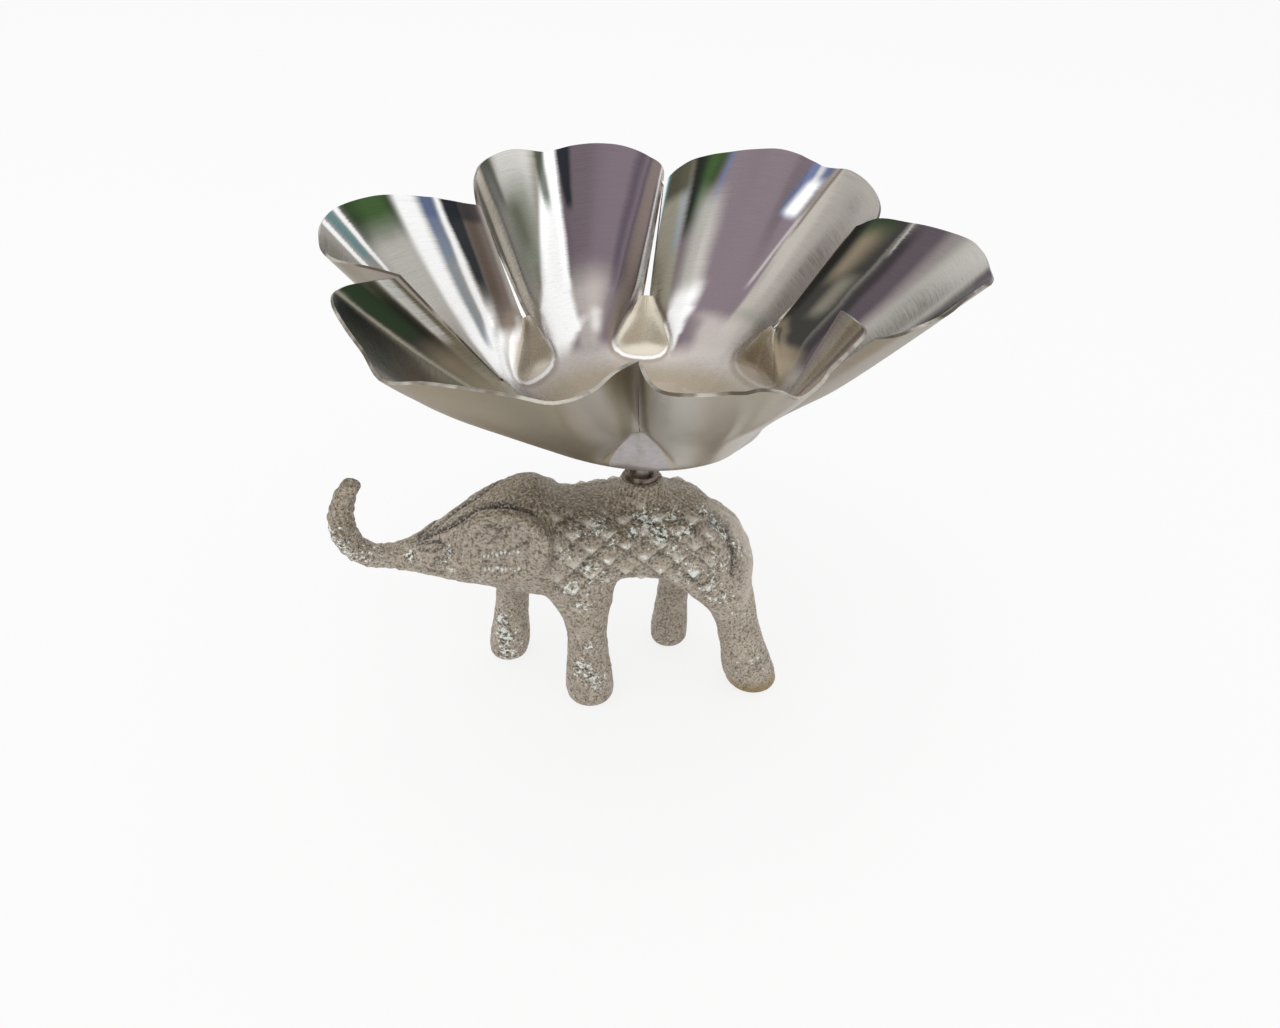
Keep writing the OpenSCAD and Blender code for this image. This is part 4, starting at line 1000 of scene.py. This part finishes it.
RIGHT_FRONT = [
    ("olive_beige", 0, 1.3, 0, 0.35, 0, 0.35, 0.03, 0.2, 0.8),
    ("brown", 0, 1.2, 0.835, 0.875, 0.835, 0.875, 0.01, 0.15, 0.8),
    ("beige_brown", 0, 1.2, 0.88, 0.93, 0.88, 0.93, 0.012, 0.15, 0.9),
    ("olive_beige", 0, 1.2, 0.935, 0.965, 0.935, 0.965, 0.008, 0.15, 0.9),
    ("mauve_grey", 0, 1.2, 0.965, 1.1, 0.965, 1.1, 0.01, 0.15, 0.8),
]
RIGHT_SIDE = [
    ("pale_silver", 0, 0.7, 0.54, 0.69, 0.53, 0.68, 0.03, 0.2, 0.45),
    ("dark_grey", 0, 0.55, 0.455, 0.53, 0.45, 0.51, 0.01, 0.12, 0.95),
    ("mauve_dark", 0, 0.08, 0.30, 0.52, 0.30, 0.52, 0.01, 0.03, 0.85),
    ("mauve_grey", 0, 0.9, 0.7, 0.735, 0.69, 0.725, 0.015, 0.15, 0.6),
    ("mauve_dark", 0, 1.3, 0.735, 0.818, 0.7, 0.82, 0.01, 0.2, 0.9),
    ("black_reflection", 0.2, 1.2, 0.785, 0.825, 0.77, 0.83, 0.008, 0.15, 0.7),
    ("pale_silver", 0, 0.2, 0.819, 0.824, 0.815, 0.82, 0.003, 0.06, 0.6),
    ("black_reflection", 0, 1.3, 0.828, 1.05, 0.825, 1.05, 0.005, 0.12, 0.95),
    ("deep_green", 0, 0.1, 0.855, 0.95, 0.855, 0.95, 0.01, 0.05, 0.9),
    ("beige_brown", 0.2, 0.4, 0.87, 0.93, 0.88, 0.93, 0.02, 0.11, 0.8),
    ("olive_beige", 0.55, 0.75, 0.84, 0.885, 0.845, 0.89, 0.012, 0.08, 0.5),
    ("beige_brown", 1.3, 1.9, 0.8, 1.05, 0.8, 1.05, 0.04, 0.12, 0.8),
]
NOSE_INSIDE = [
    ("cream", 1.0, 1.9, -0.1, 0.34, -0.1, 0.34, 0.06, 0.15, 0.6),
    ("beige_brown", 1.1, 1.8, 0.45, 0.51, 0.46, 0.51, 0.02, 0.15, 0.5),
    ("cream", 1.1, 1.9, 0.53, 0.58, 0.53, 0.6, 0.02, 0.15, 0.5),
    ("green_grey", 1.1, 1.7, 0.64, 0.86, 0.66, 0.88, 0.06, 0.2, 0.5),
]
# Streaks of painted reflection on the outsides of the two front petals
OUTSIDE_LEFT_FRONT = [
    ("light_grey", 0, 0.8, 0.3, 0.48, 0.3, 0.46, 0.05, 0.3, 0.8),
    ("olive", 0, 1.6, 0.6, 0.77, 0.62, 0.8, 0.05, 0.3, 0.7),
    ("light_grey", 0, 1.8, 0.8, 0.88, 0.81, 0.9, 0.03, 0.3, 0.7),
    ("olive", 0, 0.9, 0.905, 0.965, 0.91, 0.96, 0.012, 0.2, 0.8),
    ("light_grey", 0, 1.0, 0.975, 1.1, 0.965, 1.1, 0.008, 0.1, 0.9),
]
OUTSIDE_RIGHT_FRONT = [
    ("light_grey", 0, 1, -0.1, 0.012, -0.1, 0.02, 0.006, 0.1, 0.8),
    ("umber", 0, 1.3, 0.02, 0.06, 0.025, 0.075, 0.012, 0.2, 0.8),
    ("silver", 0, 1.9, 0.09, 0.26, 0.11, 0.32, 0.03, 0.25, 0.7),
    ("olive", 0, 1.2, 0.33, 0.43, 0.36, 0.47, 0.04, 0.3, 0.6),
    ("light_grey", 0.1, 1.5, 0.48, 0.6, 0.52, 0.65, 0.04, 0.3, 0.6),
]
PETAL_INSIDES = [
    ("sheen_right_back", "mauve_grey", RIGHT_BACK), ("sheen_middle_back", "deep_mauve", MIDDLE_BACK),
    ("sheen_left_back", "warm_grey", LEFT_BACK), ("sheen_left_front", "olive_beige", LEFT_FRONT),
    ("sheen_right_front", "sand", RIGHT_FRONT), ("sheen_right_side", "warm_grey", RIGHT_SIDE),
    ("sheen_nose", "sand", NOSE_INSIDE),
]
sheen_painted_sheets = [sheen_painted_sheet(name, base, "pale_mauve", streaks) for name, base, streaks in PETAL_INSIDES]


def plain_sheet(name, colour, second, third, roughness, patch_scale, stretch=(1, 1, 1)):
    """Brushed sheet away from the streaks: soft patches of three close greys under fine lines."""
    material, tree, shader = new_material(name)
    space = own_space(tree)
    wear = add_node(tree, "ShaderNodeGroup", {0: space, 1: patch_scale}, node_tree=WORN_PLATING)
    broad = cloud(tree, space, patch_scale * 0.35, 3.0, 0.5, stretch)
    tone = blend(tree, ramp(tree, broad, 0.4, 0.6), as_seen(*colour), as_seen(*second))
    tone = tint(tree, wear.outputs[0], 0.5, tone, third)
    lines = cloud(tree, space, 1.0, 2.0, 0.6, (0.5, 0.5, 7.0))
    tone = blend(tree, ramp(tree, lines, 0.4, 0.62, 0.0, 0.18), tone, as_seen(*(0.76 * v for v in colour)))
    fill(tree, shader, {"Base Color": tone, "Metallic": 0.8, "Normal": bumps(tree, lines, 0.2),
                        "Roughness": ramp(tree, broad, 0.3, 0.7, roughness - 0.05, roughness + 0.07)})
    return material


UPRIGHT = (1, 1, 0.22)
mesh.materials.clear()
for material in [
        plain_sheet("sheet_outside", (0.60, 0.56, 0.50), (0.64, 0.605, 0.555), (0.57, 0.525, 0.46),
                    0.36, 0.22, UPRIGHT),
        *sheen_painted_sheets,
        plain_sheet("sheet_dish", (0.65, 0.605, 0.54), (0.69, 0.645, 0.585), (0.62, 0.565, 0.49), 0.30, 0.25),
        # The cut edge is painted dark as an edge in shade, with patches of painted highlight along it
        plain_sheet("sheet_cut_edge", (0.36, 0.33, 0.29), (0.74, 0.72, 0.68), (0.34, 0.31, 0.27), 0.3, 0.35),
        sheen_painted_sheet("outside_left_front", "champagne", "champagne", OUTSIDE_LEFT_FRONT, 0.32,
                     with_pads=False),
        sheen_painted_sheet("outside_right_front", "pale_champagne", "pale_champagne", OUTSIDE_RIGHT_FRONT, 0.32,
                     with_pads=False),
        plain_sheet("nose_outside", (0.67, 0.65, 0.64), (0.72, 0.70, 0.70), (0.60, 0.57, 0.54), 0.34, 0.5)]:
    mesh.materials.append(material)
mesh.polygons.foreach_set("material_index", all_finishes)
mesh.update()
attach(bowl, "bowl")
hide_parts("petal_bowl")

# Washer and screw
# A plain plated washer and a slotted steel screw with a domed head. The screw runs down through the
# bowl's floor, the post and the ring into the elephant's back, and the bowl turns on it.
dress_node("head_washer", turned_metal("washer_plate", (0.78, 0.76, 0.72), (0.55, 0.50, 0.42), 0.6))
dress_node("bowl_screw", turned_metal("screw_steel", (0.72, 0.72, 0.72), (0.45, 0.44, 0.43), 0.8))

# Floor, light and camera
# A pale table top that keeps the object's soft shadow, a bright even room, and one wide soft lamp
# above the object and a little to its left.
bpy.ops.object.select_all(action="DESELECT")
bpy.ops.mesh.primitive_plane_add(size=6)
floor = bpy.context.object
floor.name = "table_top"


def seen_directly(tree):
    """1 for the rays that show a backdrop: the camera's own, and those by gloss and through glass."""
    rays = add_node(tree, "ShaderNodeLightPath").outputs
    seen = maths(tree, "MAXIMUM", rays["Is Camera Ray"], rays["Is Glossy Ray"])
    return maths(tree, "MAXIMUM", seen, rays["Is Transmission Ray"])


floor_finish, tree, _ = new_material("pale_table")
tree.nodes.clear()
matt = add_node(tree, "ShaderNodeBsdfDiffuse", {"Color": as_seen(0.97, 0.97, 0.97)})
glow = add_node(tree, "ShaderNodeEmission", {"Color": (1, 1, 1, 1), "Strength": 1.0})
glow_share = times(tree, seen_directly(tree), 0.80)
mixed = add_node(tree, "ShaderNodeMixShader", {0: glow_share, 1: matt.outputs[0], 2: glow.outputs[0]})
add_node(tree, "ShaderNodeOutputMaterial", {0: mixed.outputs[0]})
floor.data.materials.append(floor_finish)

world = bpy.data.worlds.new("bright_room")
bpy.context.scene.world = world
world.use_nodes = True
tree = world.node_tree
ROOM_LIGHT = 0.80
glare = ramp(tree, seen_directly(tree), 0.0, 1.0, ROOM_LIGHT, 1.0, "LINEAR")
fill(tree, tree.nodes["Background"], {"Color": (1, 1, 1, 1), "Strength": glare})

lamp = bpy.data.lights.new("soft_lamp", "AREA")
lamp.shape = "DISK"
lamp.size = 1.5
lamp.energy = 2.6
lamp_object = new_object("soft_lamp", lamp)
lamp_object.location = (-0.344, -0.413, 0.835)
lamp_object.rotation_euler = (Vector((0, 0, 0.05)) - lamp_object.location).to_track_quat("-Z", "Y").to_euler()

# The camera stands where the photograph was taken from: looking down at 34.6 degrees, 11.1 degrees to
# the right, and held 3 degrees out of level
heading, pitch, roll = math.radians(11.1), math.radians(34.6), math.radians(3.0)
ahead = Vector((math.sin(heading) * math.cos(pitch), math.cos(heading) * math.cos(pitch), -math.sin(pitch)))
right = Vector((math.cos(heading), -math.sin(heading), 0))
up = right.cross(ahead)
right_axis = right * math.cos(roll) + up * math.sin(roll)
up_axis = up * math.cos(roll) - right * math.sin(roll)
camera = bpy.data.cameras.new("camera")
camera.sensor_width = 36
camera.lens = 26.63
camera.clip_start = 0.01
camera_object = new_object("camera", camera)
turn = Matrix((right_axis, up_axis, -ahead)).transposed()
camera_object.matrix_world = Matrix.Translation((-0.0299, -0.1527, 0.1483)) @ turn.to_4x4()
bpy.context.scene.camera = camera_object
bpy.context.scene.view_settings.view_transform = "Standard"
